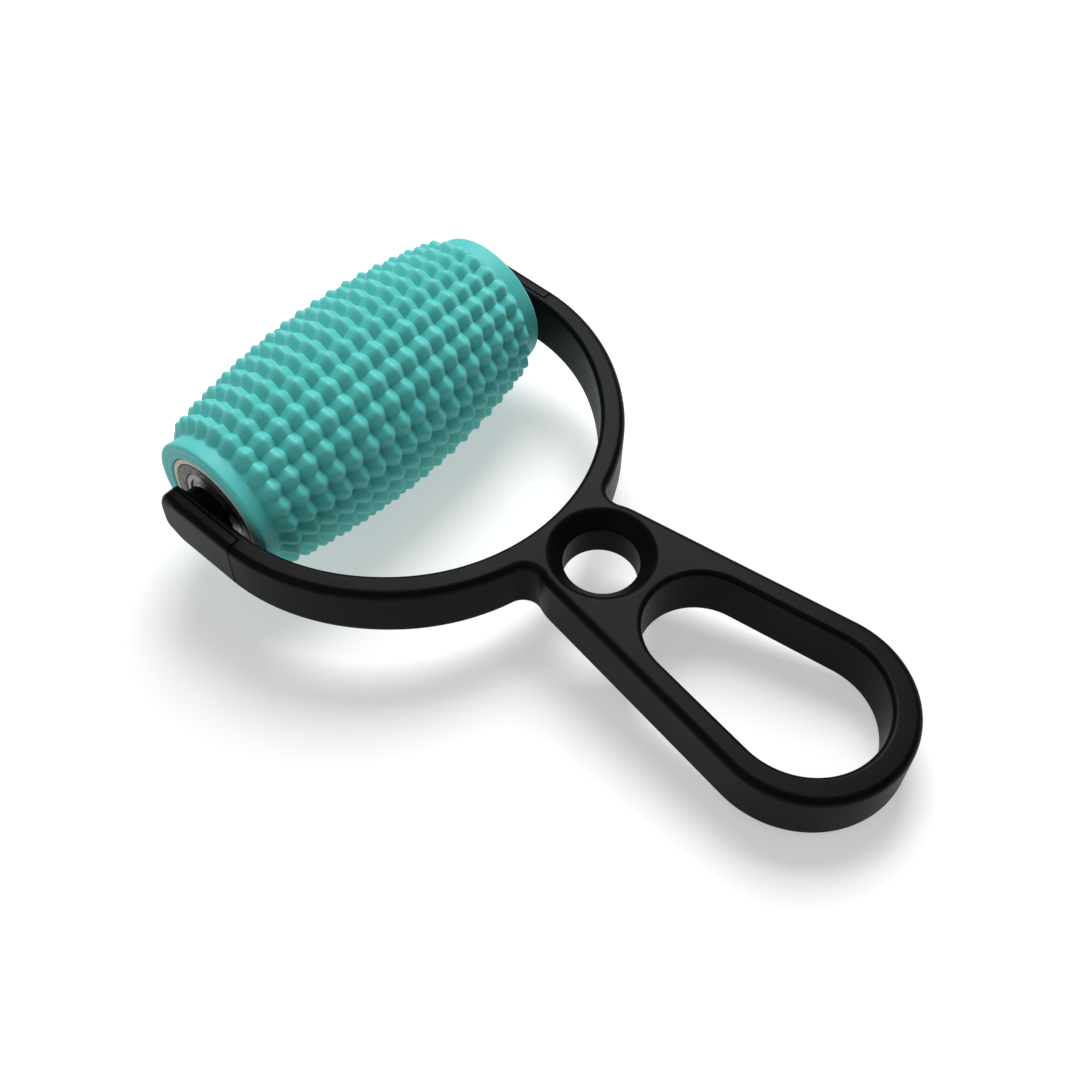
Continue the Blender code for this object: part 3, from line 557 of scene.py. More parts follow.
# dark and light tone, smooth and rough, width and depth of the turning marks
STEELS = {
    # the ring and shield steels are far darker than bare steel: painted shade for the bearing's dim recess
    "ring_steel": ((0.12, 0.12, 0.12), (0.19, 0.19, 0.18), 0.24, 0.36, 0.00006, 0.000002),
    "shield_steel": ((0.22, 0.22, 0.22), (0.34, 0.34, 0.33), 0.30, 0.44, 0.00015, 0.000004),
    "ball_steel": ((0.64, 0.64, 0.64), (0.72, 0.72, 0.72), 0.08, 0.14, 0.00005, 0.0000005),
    "axle_steel": ((0.36, 0.36, 0.37), (0.46, 0.46, 0.47), 0.26, 0.38, 0.00020, 0.000005),
    "zinc_steel": ((0.48, 0.49, 0.52), (0.60, 0.60, 0.60), 0.24, 0.40, 0.00030, 0.000004),
}
steels = {name: make_steel(name, *look) for name, look in STEELS.items()}
print("made", ", ".join(steels))

# %% [markdown]
# ## The massage sleeve
#
# The sleeve is moulded rubber: a barrel whose whole surface is rings of blunt four-sided bumps, with a
# smooth collar at each end. Over four hundred little pyramids could be modelled one by one, but all
# follow one rule, so the sleeve is one fine grid wrapped round the barrel, and each grid point is
# lifted by how near it is to the middle of its bump. The height rule adds two falls, one along the barrel
# and a gentler one around it. Neighbours in a ring are therefore joined by a saddle, and only the corner
# between four bumps goes all the way down. At the collars the outermost feet are rounded off.

# %% The barrel and the height of a bump
sleeve_low, sleeve_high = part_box("roller_sleeve")
SLEEVE_HALF = (sleeve_high.x - sleeve_low.x) / 2
TIP_RADIUS = AXLE.z - sleeve_low.z
TUBE_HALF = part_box("core_tube")[1].x
TUBE_RADIUS = radius_of("core_tube")
PRESS_GAP = 0.00012
BUMP_RINGS, BUMPS_ROUND = 17, 26
BUMP_HEIGHT = 0.0034
COLLAR_LENGTH = 0.0052
COLLAR_RADIUS, COLLAR_EASE = 0.0209, 0.0013
GROOVE_OUTER, GROOVE_INNER, GROOVE_DEPTH = 0.0184, 0.0177, 0.00018
BORE_CHAMFER, BORE_CHAMFER_LENGTH = 0.0004, 0.0005
END_EASE = 0.0002
END_TIP_RADIUS = 0.02374
FIELD_HALF = SLEEVE_HALF - COLLAR_LENGTH
PITCH = 2 * FIELD_HALF / BUMP_RINGS
CELL = 12
FALL_ALONG, FALL_AROUND = 0.58, 0.42
CREST_SOFTNESS = 0.13
WAVE_SHARE, DOME_SHARE = 0.25, 0.20
END_REACH, END_TAPER = 1.24, 0.45
SPILL_RINGS = 4
PAST_FEET = (0.0002, 0.0005)


def barrel_tip_radius(x):
    """Radius over the bumps: an arc through the middle and the ends of the bumpy stretch."""
    drop = TIP_RADIUS - END_TIP_RADIUS
    crown = (FIELD_HALF ** 2 + drop ** 2) / (2 * drop)
    x = min(abs(x), FIELD_HALF)
    return TIP_RADIUS - crown + math.sqrt(crown ** 2 - x * x)


def fall(distance):
    """How far a bump has come down at a distance from its middle: 0 at the crest, 1 at the border."""
    blunt = math.hypot(distance, CREST_SOFTNESS) - CREST_SOFTNESS
    straight = blunt / (math.hypot(1, CREST_SOFTNESS) - CREST_SOFTNESS)
    wave = (1 - math.cos(math.pi * distance)) / 2
    return (1 - WAVE_SHARE - DOME_SHARE) * straight + WAVE_SHARE * wave + DOME_SHARE * distance ** 2


def bump_share(x, across):
    """Height share at a place along the barrel and a place across a bump, from -1 to 1."""
    ring = min(max(math.floor((x + FIELD_HALF) / PITCH), 0), BUMP_RINGS - 1)
    along = 2 * ((x + FIELD_HALF) / PITCH - ring) - 1
    crest = 1 - FALL_AROUND * fall(abs(across))
    if (ring == 0 and along < 0) or (ring == BUMP_RINGS - 1 and along > 0):
        reach = END_REACH - END_TAPER * across ** 2
        return crest * (1 - fall(min(abs(along) / reach, 1.0)))
    return crest - FALL_ALONG * fall(abs(along))


print("sleeve", round(2000 * SLEEVE_HALF, 1), "mm long,", BUMP_RINGS * BUMPS_ROUND, "bumps,",
      round(2000 * TIP_RADIUS, 1), "mm over the tips")

# %% Build the sleeve
def sleeve_rings():
    """Rings (x, radius, lift, edge) from the left end round to the bore; lift raises the bumps."""
    bore = TUBE_RADIUS + PRESS_GAP
    valley_end = END_TIP_RADIUS - BUMP_HEIGHT
    slope = (COLLAR_RADIUS - valley_end) / COLLAR_LENGTH
    end, dip = SLEEVE_HALF, SLEEVE_HALF - GROOVE_DEPTH
    face = eased([(end - COLLAR_LENGTH, valley_end, 0), (end, COLLAR_RADIUS, COLLAR_EASE),
                  (end, GROOVE_OUTER), (dip, GROOVE_OUTER - END_EASE), (dip, GROOVE_INNER + END_EASE),
                  (end, GROOVE_INNER), (end, bore + BORE_CHAMFER), (end - BORE_CHAMFER_LENGTH, bore),
                  (0.0, bore, 0)], END_EASE, steps=5, closed=False)[1:]
    feet = [FIELD_HALF + (END_REACH - 1) / 2 * PITCH * k / SPILL_RINGS for k in range(1, SPILL_RINGS + 1)]
    beyond = [(x, valley_end + slope * (x - FIELD_HALF), BUMP_HEIGHT, 0.0) for x in feet]
    beyond += [(feet[-1] + far, valley_end + slope * (feet[-1] + far - FIELD_HALF), 0.0, 0.0)
               for far in PAST_FEET]
    beyond += [(x, radius, 0.0, 0.5 * exposed) for x, radius, exposed in face]
    lines = [-FIELD_HALF + PITCH * line / CELL for line in range(BUMP_RINGS * CELL + 1)]
    middle = [(x, barrel_tip_radius(x) - BUMP_HEIGHT, BUMP_HEIGHT, 0.0) for x in lines]
    return flipped(reversed(beyond), -1) + middle + beyond[:-1]


def make_massage_sleeve():
    bm = bmesh.new()
    edge = edge_layer(bm)
    round_steps = CELL * BUMPS_ROUND
    rings = []
    for x, radius, lift, exposed in sleeve_rings():
        ring = []
        for k in range(round_steps):
            across = 2 * ((k % CELL) / CELL) - 1
            share = bump_share(x, across) if lift else 0.0
            angle = -math.pi / 2 + 2 * math.pi * (k - CELL / 2) / round_steps
            vertex = bm.verts.new(around_x(x, radius + lift * share)(angle))
            # the edge attribute carries the bump's height, which the teal finish turns into painted valley shade
            # and paler tips
            vertex[edge] = max(share ** 2, exposed)
            ring.append(vertex)
        rings.append(ring)
    skin(bm, rings, closed=True)
    return piece_from(bm, "massage_sleeve", "roller", ["roller_sleeve"], teal_rubber,
                      AXLE_LINE)


massage_sleeve = make_massage_sleeve()
print(massage_sleeve.name, len(massage_sleeve.data.polygons), "faces")

# %% [markdown]
# ## Core tube and bearing seats
#
# Inside the sleeve is a stiff pipe, cut to length and chamfered. A moulded seat is pressed into each
# end. Its front has a shallow funnel, and behind that the bore that holds the bearing. Both are lathe
# profiles, so they are turned.

# %% Turn the tube and its seats
outer_ring_low, outer_ring_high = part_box("right_bearing_outer_ring")
seat_low, seat_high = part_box("right_bearing_seat")
BEARING_RADIUS = radius_of("right_bearing_outer_ring")
BEARING_WIDTH = outer_ring_high.x - outer_ring_low.x
BEARING_CENTRE = (outer_ring_low.x + outer_ring_high.x) / 2
SEAT_RADIUS = radius_of("right_bearing_seat")
SEAT_DISH = 0.0008
SEAT_LIP = 0.0016
SEAT_EDGE = 0.0005
SIDES = ((-1, "left"), (1, "right"))


def make_cream_tube():
    inner = SEAT_RADIUS + PRESS_GAP
    corners = [(-TUBE_HALF, inner, 0.0004), (-TUBE_HALF, TUBE_RADIUS, 0.0006),
               (TUBE_HALF, TUBE_RADIUS, 0.0006), (TUBE_HALF, inner, 0.0004)]
    return piece_from(turned(eased(corners, 0.0005)), "cream_tube", "roller",
                      ["core_tube"], cream_plastic, AXLE_LINE)


def make_seat_plug(side, side_name):
    bore = BEARING_RADIUS + PRESS_GAP
    face = BEARING_CENTRE + BEARING_WIDTH / 2
    shoulder = face - BEARING_WIDTH - PRESS_GAP
    corners = [(seat_high.x, SEAT_RADIUS, SEAT_EDGE), (seat_high.x, bore + SEAT_DISH, 0.0004),
               (face, bore, 0.0002), (shoulder, bore, 0.0001), (shoulder, bore - SEAT_LIP, 0.0003),
               (seat_low.x, bore - SEAT_LIP, 0.0003), (seat_low.x, SEAT_RADIUS, 0.0006)]
    return piece_from(turned(flipped(eased(corners, 0.0003), side)), f"{side_name}_seat_plug", "roller",
                      [f"{side_name}_bearing_seat"], seat_plastic, AXLE_LINE)


cream_tube = make_cream_tube()
seat_plugs = [make_seat_plug(side, side_name) for side, side_name in SIDES]
print(cream_tube.name, "and", [plug.name for plug in seat_plugs], "bearing seat radius",
      round(1000 * BEARING_RADIUS, 2), "mm")

# %% [markdown]
# ## Ball bearings
#
# Each end has a common 8 x 22 x 7 mm ball bearing. Its two rings have a groove whose section is an arc
# a little larger than the ball. Thin steel shields, pressed with a shallow step, close both faces.
# Nothing but the outer shield shows, but the rest is made too, because the part may be opened up in a
# drawing or an animation.

# %% Rings and shields
shield_low, shield_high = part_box("right_bearing_outer_shield")
INNER_LAND = radius_of("right_bearing_inner_ring")
OUTER_LAND = 0.0091
RING_BORE = 0.00406
BALL_CIRCLE = 0.0076
BALL_RADIUS = 0.00198
RUNNING_GAP = 0.00013
SHIELD_RADIUS = radius_of("right_bearing_outer_shield")
SHIELD_THICKNESS = shield_high.x - shield_low.x
SHIELD_FACE = shield_high.x - BEARING_CENTRE
SHIELD_DIP, SHIELD_BEAD = 0.00022, 0.0008
HALF_BEARING = BEARING_WIDTH / 2
GROOVE_STEPS = 14


def groove(land, outward):
    """The arc of a ball groove across a ring, as profile corners without easing."""
    ball = BALL_RADIUS + RUNNING_GAP
    sign = 1 if outward else -1
    half_width = math.sqrt(ball ** 2 - (land - BALL_CIRCLE) ** 2)
    reach = math.asin(half_width / ball)
    angles = [reach * (2 * k / GROOVE_STEPS - 1) for k in range(GROOVE_STEPS + 1)]
    return [(ball * math.sin(a), BALL_CIRCLE + sign * ball * math.cos(a), 0) for a in angles]


def at_bearing(profile, side):
    """Move a profile from the middle of a bearing to the left or right end."""
    return [(side * (BEARING_CENTRE + x), *rest) for x, *rest in profile]


def make_bearing_rings(side, side_name):
    rim = SHIELD_RADIUS + PRESS_GAP
    step = SHIELD_FACE - SHIELD_THICKNESS - PRESS_GAP
    outer = [(-HALF_BEARING, BEARING_RADIUS, 0.0004), (-HALF_BEARING, rim), (-step, rim),
             (-step, OUTER_LAND, 0.0001)]
    outer += groove(OUTER_LAND, outward=True)
    outer += [(step, OUTER_LAND, 0.0001), (step, rim), (HALF_BEARING, rim),
              (HALF_BEARING, BEARING_RADIUS, 0.0004)]
    inner = [(-HALF_BEARING, RING_BORE, 0.0003), (-HALF_BEARING, INNER_LAND, 0.0002)]
    inner += groove(INNER_LAND, outward=False)
    inner += [(HALF_BEARING, INNER_LAND, 0.0002), (HALF_BEARING, RING_BORE, 0.0003)]
    made = []
    for ring_name, corners, body in (("outer", outer, "roller"), ("inner", inner, "handle")):
        ring = turned(at_bearing(eased(corners, 0.00012), side))
        made.append(piece_from(ring, f"{side_name}_{ring_name}_race", body,
                               [f"{side_name}_bearing_{ring_name}_ring"], steels["ring_steel"], AXLE_LINE))
    return made


def make_shield(side, side_name, facing, facing_name):
    hole = INNER_LAND + PRESS_GAP
    face, back_face = SHIELD_FACE, SHIELD_FACE - SHIELD_THICKNESS
    dip, bead = face - SHIELD_DIP, SHIELD_BEAD
    corners = [(dip, hole), (dip, SHIELD_RADIUS - 2.1 * bead),
               (face, SHIELD_RADIUS - 1.9 * bead, 0.00035), (face, SHIELD_RADIUS - 1.1 * bead, 0.00035),
               (dip, SHIELD_RADIUS - 0.9 * bead), (dip, SHIELD_RADIUS),
               (back_face, SHIELD_RADIUS), (back_face, hole)]
    profile = flipped(eased(corners, 0.00012), facing)
    return piece_from(turned(at_bearing(profile, side)), f"{side_name}_{facing_name}_shield_disc",
                      "roller", [f"{side_name}_bearing_{facing_name}_shield"],
                      steels["shield_steel"], AXLE_LINE)


for side, side_name in SIDES:
    races = make_bearing_rings(side, side_name)
    shields = [make_shield(side, side_name, facing, facing_name)
               for facing, facing_name in ((1, "outer"), (-1, "inner"))]
    print([piece.name for piece in races + shields])

# %% [markdown]
# ## Cages and balls
#
# A crown cage is one ring with fingers that reach between the balls and keep them apart. The pockets
# are round, so the ring's front edge follows a circle past each ball. That edge is a rule of the
# angle, as the sleeve's bumps are. A ball is a true sphere, so an icosphere with even faces is it.

# %% Cages and balls
cage_low, cage_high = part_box("right_bearing_cage")
CAGE_PLAY, CAGE_GAP = 0.00005, 0.0005
CAGE_OUTER = radius_of("right_bearing_cage") - CAGE_PLAY
CAGE_INNER = INNER_LAND + CAGE_GAP
CAGE_BACK = cage_low.x - BEARING_CENTRE
FINGER_REACH = cage_high.x - BEARING_CENTRE
BALL_COUNT = 7
POCKET_RADIUS = BALL_RADIUS + 0.0002
CAGE_STEPS = 32 * BALL_COUNT


def cage_front(angle):
    """How far the cage reaches outwards at an angle: round pockets between blunt fingers."""
    spacing = 2 * math.pi / BALL_COUNT
    to_ball = abs((angle + spacing / 2) % spacing - spacing / 2)
    distance = BALL_CIRCLE * math.sin(min(to_ball, math.pi / 2))
    if distance < POCKET_RADIUS:
        return -math.sqrt(POCKET_RADIUS ** 2 - distance ** 2)
    half_finger = BALL_CIRCLE * math.sin(spacing / 2) - POCKET_RADIUS
    share = min((distance - POCKET_RADIUS) / (0.5 * half_finger), 1.0)
    return FINGER_REACH * math.sqrt(1 - (1 - share) ** 2)


def make_ball_cage(side, side_name):
    bm = bmesh.new()

    def ring(front, radius):
        def place(angle):
            x = cage_front(angle) if front else CAGE_BACK
            return around_x(side * (BEARING_CENTRE + x), radius)(angle)
        return vertex_ring(bm, CAGE_STEPS, place)

    corners = [(False, CAGE_INNER), (False, CAGE_OUTER), (True, CAGE_OUTER), (True, CAGE_INNER)]
    skin(bm, [ring(*corner) for corner in corners], closed=True)
    return piece_from(bm, f"{side_name}_ball_cage", f"{side_name}_cage",
                      [f"{side_name}_bearing_cage"], steels["ring_steel"], AXLE_LINE)


def make_ball(side, side_name, k):
    bm = bmesh.new()
    bmesh.ops.create_icosphere(bm, subdivisions=4, radius=BALL_RADIUS)
    angle = 2 * math.pi * k / BALL_COUNT
    place = AXLE_LINE @ Matrix.Translation(around_x(side * BEARING_CENTRE, BALL_CIRCLE)(angle))
    return piece_from(bm, f"{side_name}_bearing_ball_{k + 1}", f"{side_name}_cage",
                      [f"{side_name}_ball_{k + 1}"], steels["ball_steel"], place)


for side, side_name in SIDES:
    cage = make_ball_cage(side, side_name)
    balls = [make_ball(side, side_name, k) for k in range(BALL_COUNT)]
    print(cage.name, "with", len(balls), "balls")

# %% [markdown]
# ## Axle, spacers and fasteners
#
# The axle is a drawn rod with a tapped hole in each end. A button-head screw goes through each arm
# into it, over a washer, and a spacer on each side keeps the roller off the arms. A thread is a
# profile that climbs as it turns, so the screw's shank is a stack of rings whose radius follows the
# distance along the helix.

# %% Axle and spacers
AXLE_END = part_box("axle")[1].x
spacer_low, spacer_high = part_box("right_spacer")
washer_low, washer_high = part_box("right_axle_washer")
screw_low, screw_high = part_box("right_axle_screw")
AXLE_RADIUS = radius_of("axle")
AXLE_HOLE_BEYOND_SCREW = 0.0010
SCREW_RADIUS = 0.0020
SCREW_CLEARANCE = 0.00035
HEAD_HEIGHT = 0.0022


def make_steel_axle():
    hole = SCREW_RADIUS + PRESS_GAP
    depth = screw_low.x - AXLE_HOLE_BEYOND_SCREW
    half = [(AXLE_END, AXLE_RADIUS, 0.0006), (AXLE_END, hole, 0.0003), (depth, hole), (depth, 0)]
    corners = flipped(reversed(half), -1) + half
    return piece_from(turned(eased(corners, 0.0002, closed=False), closed=False), "steel_axle", "handle",
                      ["axle"], steels["axle_steel"], AXLE_LINE)


def make_round_washer(side, low, high, hole, name, node):
    radius = (high.z - low.z) / 2
    corners = [(low.x, hole), (low.x, radius), (high.x, radius), (high.x, hole)]
    return piece_from(turned(flipped(eased(corners, 0.00018), side)), name, "handle",
                      [node], steels["zinc_steel"], AXLE_LINE)


steel_axle = make_steel_axle()
for side, side_name in SIDES:
    make_round_washer(side, spacer_low, spacer_high, RING_BORE, f"{side_name}_spacer_ring",
                      f"{side_name}_spacer")
    make_round_washer(side, washer_low, washer_high, SCREW_RADIUS + SCREW_CLEARANCE,
                      f"{side_name}_flat_washer", f"{side_name}_axle_washer")
print(steel_axle.name, round(2000 * AXLE_END, 1), "mm long, radius", round(1000 * AXLE_RADIUS, 2), "mm")

# %% Button-head screws
THREAD_PITCH, THREAD_DEPTH = 0.0007, 0.00022
LEAD_LENGTH, LEAD_DEPTH = 0.0005, 0.0004
KEY_HALF, KEY_DEPTH, KEY_CONE = 0.00125, 0.0013, 0.0003
HEAD_RADIUS = radius_of("right_axle_screw")
HEAD_EASE = 0.0001
CROWN_START, CROWN_END, CROWN_RINGS = math.radians(8), math.radians(60), 9
SCREW_STEPS = 48


def hexagon(angle):
    """Radius rule of the key socket, for flats at a distance of 1."""
    sixth = math.pi / 3
    return 1.0 / math.cos(angle % sixth - sixth / 2)


def make_button_screw(side, side_name):
    bm = bmesh.new()
    tip, seat, top = screw_low.x, screw_high.x - HEAD_HEIGHT, screw_high.x
    rings = [vertex_ring(bm, 1, around_x(side * tip, 0))]

    def ring(x, radius_at):
        rings.append(vertex_ring(
            bm, SCREW_STEPS, lambda angle: around_x(side * x, radius_at(angle))(angle)))

    thread_rings = round((seat - tip) / (THREAD_PITCH / 6))
    for line in range(thread_rings + 1):
        x = tip + (seat - tip) * line / thread_rings
        root = SCREW_RADIUS - LEAD_DEPTH * (1 - min((x - tip) / LEAD_LENGTH, 1.0))

        def threaded(angle, x=x, root=root):
            turn_share = (x / THREAD_PITCH + side * angle / (2 * math.pi)) % 1.0
            return root - THREAD_DEPTH * abs(2 * turn_share - 1)

        ring(x, threaded)
    ring(seat, lambda angle: HEAD_RADIUS - HEAD_EASE)
    for k in range(CROWN_RINGS + 1):
        share = k / CROWN_RINGS
        lean = CROWN_START + (CROWN_END - CROWN_START) * share
        rise = (HEAD_HEIGHT - HEAD_EASE) * math.sin(lean) / math.sin(CROWN_END) * share
        radius = HEAD_RADIUS * math.cos(lean) / math.cos(CROWN_START)
        ring(seat + HEAD_EASE + rise, lambda angle, radius=radius: radius)
    for x, half in ((top, KEY_HALF + HEAD_EASE), (top - HEAD_EASE, KEY_HALF), (top - KEY_DEPTH, KEY_HALF)):
        ring(x, lambda angle, half=half: half * hexagon(angle))
    rings.append(vertex_ring(bm, 1, around_x(side * (top - KEY_DEPTH - KEY_CONE), 0)))
    skin(bm, rings)
    return piece_from(bm, f"{side_name}_button_screw", "handle",
                      [f"{side_name}_axle_screw"], steels["zinc_steel"], AXLE_LINE)


for side, side_name in SIDES:
    screw = make_button_screw(side, side_name)
    print(screw.name, len(screw.data.polygons), "faces")

# %% [markdown]
# ## The handle
#
# Handle, hub and fork are one moulding of even thickness, so it is drawn as an outline from above and
# raised. A Bevel modifier could round the edges, but the rounding changes along the outline: broad
# outside, smaller inside the loop, and deep at the arms' tips. So each outline point carries its own
# rounding, and the rings between bottom and top are worked out from it. The right half is drawn, and
# mirrored to the left.

# %% Sizes of the handle
PLATE = 0.01675
HALF_PLATE = PLATE / 2
HUB_TO_AXLE = 0.0889
HUB_Y = -HUB_TO_AXLE
HUB_RADIUS = 0.0170
HANDLE_END_Y = HUB_Y - 0.0637
HANDLE_END_RADIUS = 0.02685
LOOP_TOP_Y = HUB_Y - 0.0329
LOOP_TOP_RADIUS = 0.0156
LOOP_END_Y = HANDLE_END_Y + 0.0007
LOOP_END_RADIUS = 0.0201
FORK_RADIUS = 0.0618
FORK_Y = -0.0167
FORK_THICKNESS = 0.0062
CROTCH_THICKNESS = 0.0068
CROTCH_FILLET = 0.0050
ARM_FLARE, FLARE_DEGREES = 0.0011, 45
ARM_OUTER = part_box("right_arm_cover")[1].x
ARM_INNER = ARM_OUTER - FORK_THICKNESS
ARM_TIP = 0.0101
CAP_LENGTH = 0.0278
CAP_THICKNESS = 0.0039
CAP_START = ARM_TIP - CAP_LENGTH
SEAM = 0.0003
CAP_INNER = ARM_OUTER - CAP_THICKNESS
TONGUE_OUTER = CAP_INNER - SEAM
OUTER_ROUND = 0.0021
INNER_ROUND = 0.0015
TIP_ROUND, TIP_ROUND_HEIGHT = 0.0042, 0.0072
TIP_BLEND, TIP_BLEND_POWER = 0.0072, 1.3
ARM_CORNER, CAP_CORNER = 0.0010, 0.0018
TIP_CORNER_STEPS, TIP_SIDE_STEPS = 8, 10
SEAM_BEVEL = 0.00015
ARC_STEP = math.radians(2)
EDGE_STEPS = 8
print("handle outline from", round(1000 * (HANDLE_END_Y - HANDLE_END_RADIUS), 1), "to",
      round(1000 * ARM_TIP, 1), "mm along the plate")

# %% An outline whose points know their rounding
class Outline:
    """Points (x, y, inset x, inset y, height); the rounding takes that inset and that height."""

    def __init__(self):
        self.points = []

    def add(self, x, y, inset=(0.0, 0.0), height=0.0):
        self.points.append((x, y, inset[0], inset[1], height))

    def arc(self, centre, radius, start, end, rounding, hollow=False, ends=(True, True)):
        """Add an arc; hollow means that the material lies outside the arc's circle."""
        steps = max(2, math.ceil(abs(end - start) / ARC_STEP))
        facing = -1 if hollow else 1
        for k in range(steps + 1):
            if (k == 0 and not ends[0]) or (k == steps and not ends[1]):
                continue
            angle = start + (end - start) * k / steps
            r = radius(angle) if callable(radius) else radius
            nx, ny = math.cos(angle), math.sin(angle)
            self.add(centre[0] + r * nx, centre[1] + r * ny,
                     (facing * rounding * nx, facing * rounding * ny), rounding)

    def mirror_back(self):
        self.points += [(-x, y, -ix, iy, h) for x, y, ix, iy, h in reversed(self.points)
                        if abs(x) > 1e-7]

    def rings(self, bm):
        """Vertex rings from the bottom face up to the top face."""
        edge = edge_layer(bm)
        leans = [math.pi / 2 * k / EDGE_STEPS for k in range(EDGE_STEPS, -1, -1)]
        result = []
        for upward in (-1, 1):
            for lean in (leans if upward < 0 else reversed(leans)):
                ring = []
                for x, y, ix, iy, h in self.points:
                    share = 1 - math.cos(lean)
                    z = upward * (HALF_PLATE - h + h * math.sin(lean))
                    vertex = bm.verts.new((x - ix * share, y - iy * share, z))
                    vertex[edge] = math.sin(2 * lean)
                    ring.append(vertex)
                result.append(ring)
        return result


def cap_both_faces(bm):
    """Fill the open bottom and top of a shape that was raised from outlines."""
    bmesh.ops.remove_doubles(bm, verts=bm.verts, dist=WELD)
    for upward in (-1, 1):
        border = [e for e in bm.edges if e.is_boundary and e.verts[0].co.z * upward > 0]
        bmesh.ops.triangle_fill(bm, use_beauty=True, edges=border)


def even_shading(piece):
    """Let the large flats decide the shading next to them, so that they stay flat to the eye."""
    piece.data.set_sharp_from_angle(angle=SMOOTH_UP_TO)
    weighted = piece.modifiers.new("even_shading", "WEIGHTED_NORMAL")
    weighted.keep_sharp = True
    weighted.weight = 90


print("a quarter circle has", math.ceil(math.pi / 2 / ARC_STEP), "steps, a rounding", EDGE_STEPS)

# %% Draw the outlines
def arm_radius(base):
    """The fork's circle, eased outwards by the flare as it turns into a straight arm."""
    def rule(angle):
        share = min(max(1 + math.degrees(angle) / FLARE_DEGREES, 0.0), 1.0)
        return base + ARM_FLARE * share * share * (3 - 2 * share)
    return rule


def tip_share(y):
    """1 at the arm's tip, easing to 0 where its rounding has ended."""
    return max(1 - (ARM_TIP - y) / TIP_BLEND, 0.0) ** TIP_BLEND_POWER


def tip_point(line, x, y, side_inset, side_round):
    """Add a point whose rounding eases from the side's own into the tip's."""
    share = tip_share(y)
    line.add(x, y, (side_inset, TIP_ROUND * share), side_round + (TIP_ROUND_HEIGHT - side_round) * share)


def tip_corner(line, corner_x, side_round, radius, outward, from_tip):
    """Round the corner between an arm's tip and one of its sides, seen from above."""
    stops = [math.pi / 2 * k / TIP_CORNER_STEPS for k in range(TIP_CORNER_STEPS + 1)]
    for lean in (stops if from_tip else reversed(stops)):
        x = corner_x - outward * radius * (1 - math.sin(lean))
        y = ARM_TIP - radius * (1 - math.cos(lean))
        tip_point(line, x, y, outward * side_round * math.sin(lean), side_round)


def tip_side(line, x, side_round, radius, outward, from_tip):
    """Ease an arm's side from the corner's rounding to its own."""
    stops = [ARM_TIP - radius - (TIP_BLEND - radius) * k / TIP_SIDE_STEPS
             for k in range(1, TIP_SIDE_STEPS + 1)]
    for y in (stops if from_tip else reversed(stops)):
        tip_point(line, x, y, outward * side_round, side_round)


def handle_outline():
    line = Outline()
    side_slope = math.asin((HANDLE_END_RADIUS - HUB_RADIUS) / (HUB_Y - HANDLE_END_Y))
    line.arc((0, HANDLE_END_Y), HANDLE_END_RADIUS, -math.pi / 2, side_slope, OUTER_ROUND)
    apart = FORK_Y - HUB_Y
    to_hub, to_fork = HUB_RADIUS + CROTCH_FILLET, FORK_RADIUS + CROTCH_FILLET
    fillet_up = (to_hub ** 2 - to_fork ** 2 + apart ** 2) / (2 * apart)
    fillet_x = math.sqrt(to_hub ** 2 - fillet_up ** 2)
    hub_angle = math.atan2(fillet_up, fillet_x)
    fork_angle = math.atan2(fillet_up - apart, fillet_x)
    line.arc((0, HUB_Y), HUB_RADIUS, side_slope, hub_angle, OUTER_ROUND)
    line.arc((fillet_x, HUB_Y + fillet_up), CROTCH_FILLET, math.pi + hub_angle, math.pi + fork_angle,
             OUTER_ROUND, hollow=True, ends=(False, False))
    seam_y = CAP_START - SEAM
    seam_angle = math.asin(min((seam_y - FORK_Y) / ARM_OUTER, 0.0))
    line.arc((0, FORK_Y), arm_radius(FORK_RADIUS), fork_angle, seam_angle, OUTER_ROUND,
             ends=(True, False))
    bevel = SEAM_BEVEL
    line.add(ARM_OUTER, seam_y - bevel, (OUTER_ROUND, 0), OUTER_ROUND)
    line.add(ARM_OUTER - bevel, seam_y, (OUTER_ROUND, bevel), OUTER_ROUND)
    line.add(TONGUE_OUTER, seam_y, (bevel, bevel), bevel)
    line.add(TONGUE_OUTER, ARM_TIP - TIP_BLEND, (bevel, 0), bevel)
    tip_side(line, TONGUE_OUTER, bevel, bevel, 1, from_tip=False)
    tip_corner(line, TONGUE_OUTER, bevel, bevel, 1, from_tip=False)
    tip_corner(line, ARM_INNER, INNER_ROUND, ARM_CORNER, -1, from_tip=True)
    tip_side(line, ARM_INNER, INNER_ROUND, ARM_CORNER, -1, from_tip=True)
    inner_radius = ARM_INNER - ARM_FLARE
    inner_y = FORK_Y - FORK_RADIUS + CROTCH_THICKNESS + inner_radius
    line.arc((0, inner_y), arm_radius(inner_radius), 0, -math.pi / 2, INNER_ROUND, hollow=True)
    line.mirror_back()
    return line


def loop_outline():
    line = Outline()
    slant = math.asin((LOOP_END_RADIUS - LOOP_TOP_RADIUS) / (LOOP_TOP_Y - LOOP_END_Y))
    line.arc((0, LOOP_END_Y), LOOP_END_RADIUS, -math.pi / 2, slant, INNER_ROUND, hollow=True)
    line.arc((0, LOOP_TOP_Y), LOOP_TOP_RADIUS, slant, math.pi / 2, INNER_ROUND, hollow=True)
    line.mirror_back()
    return line


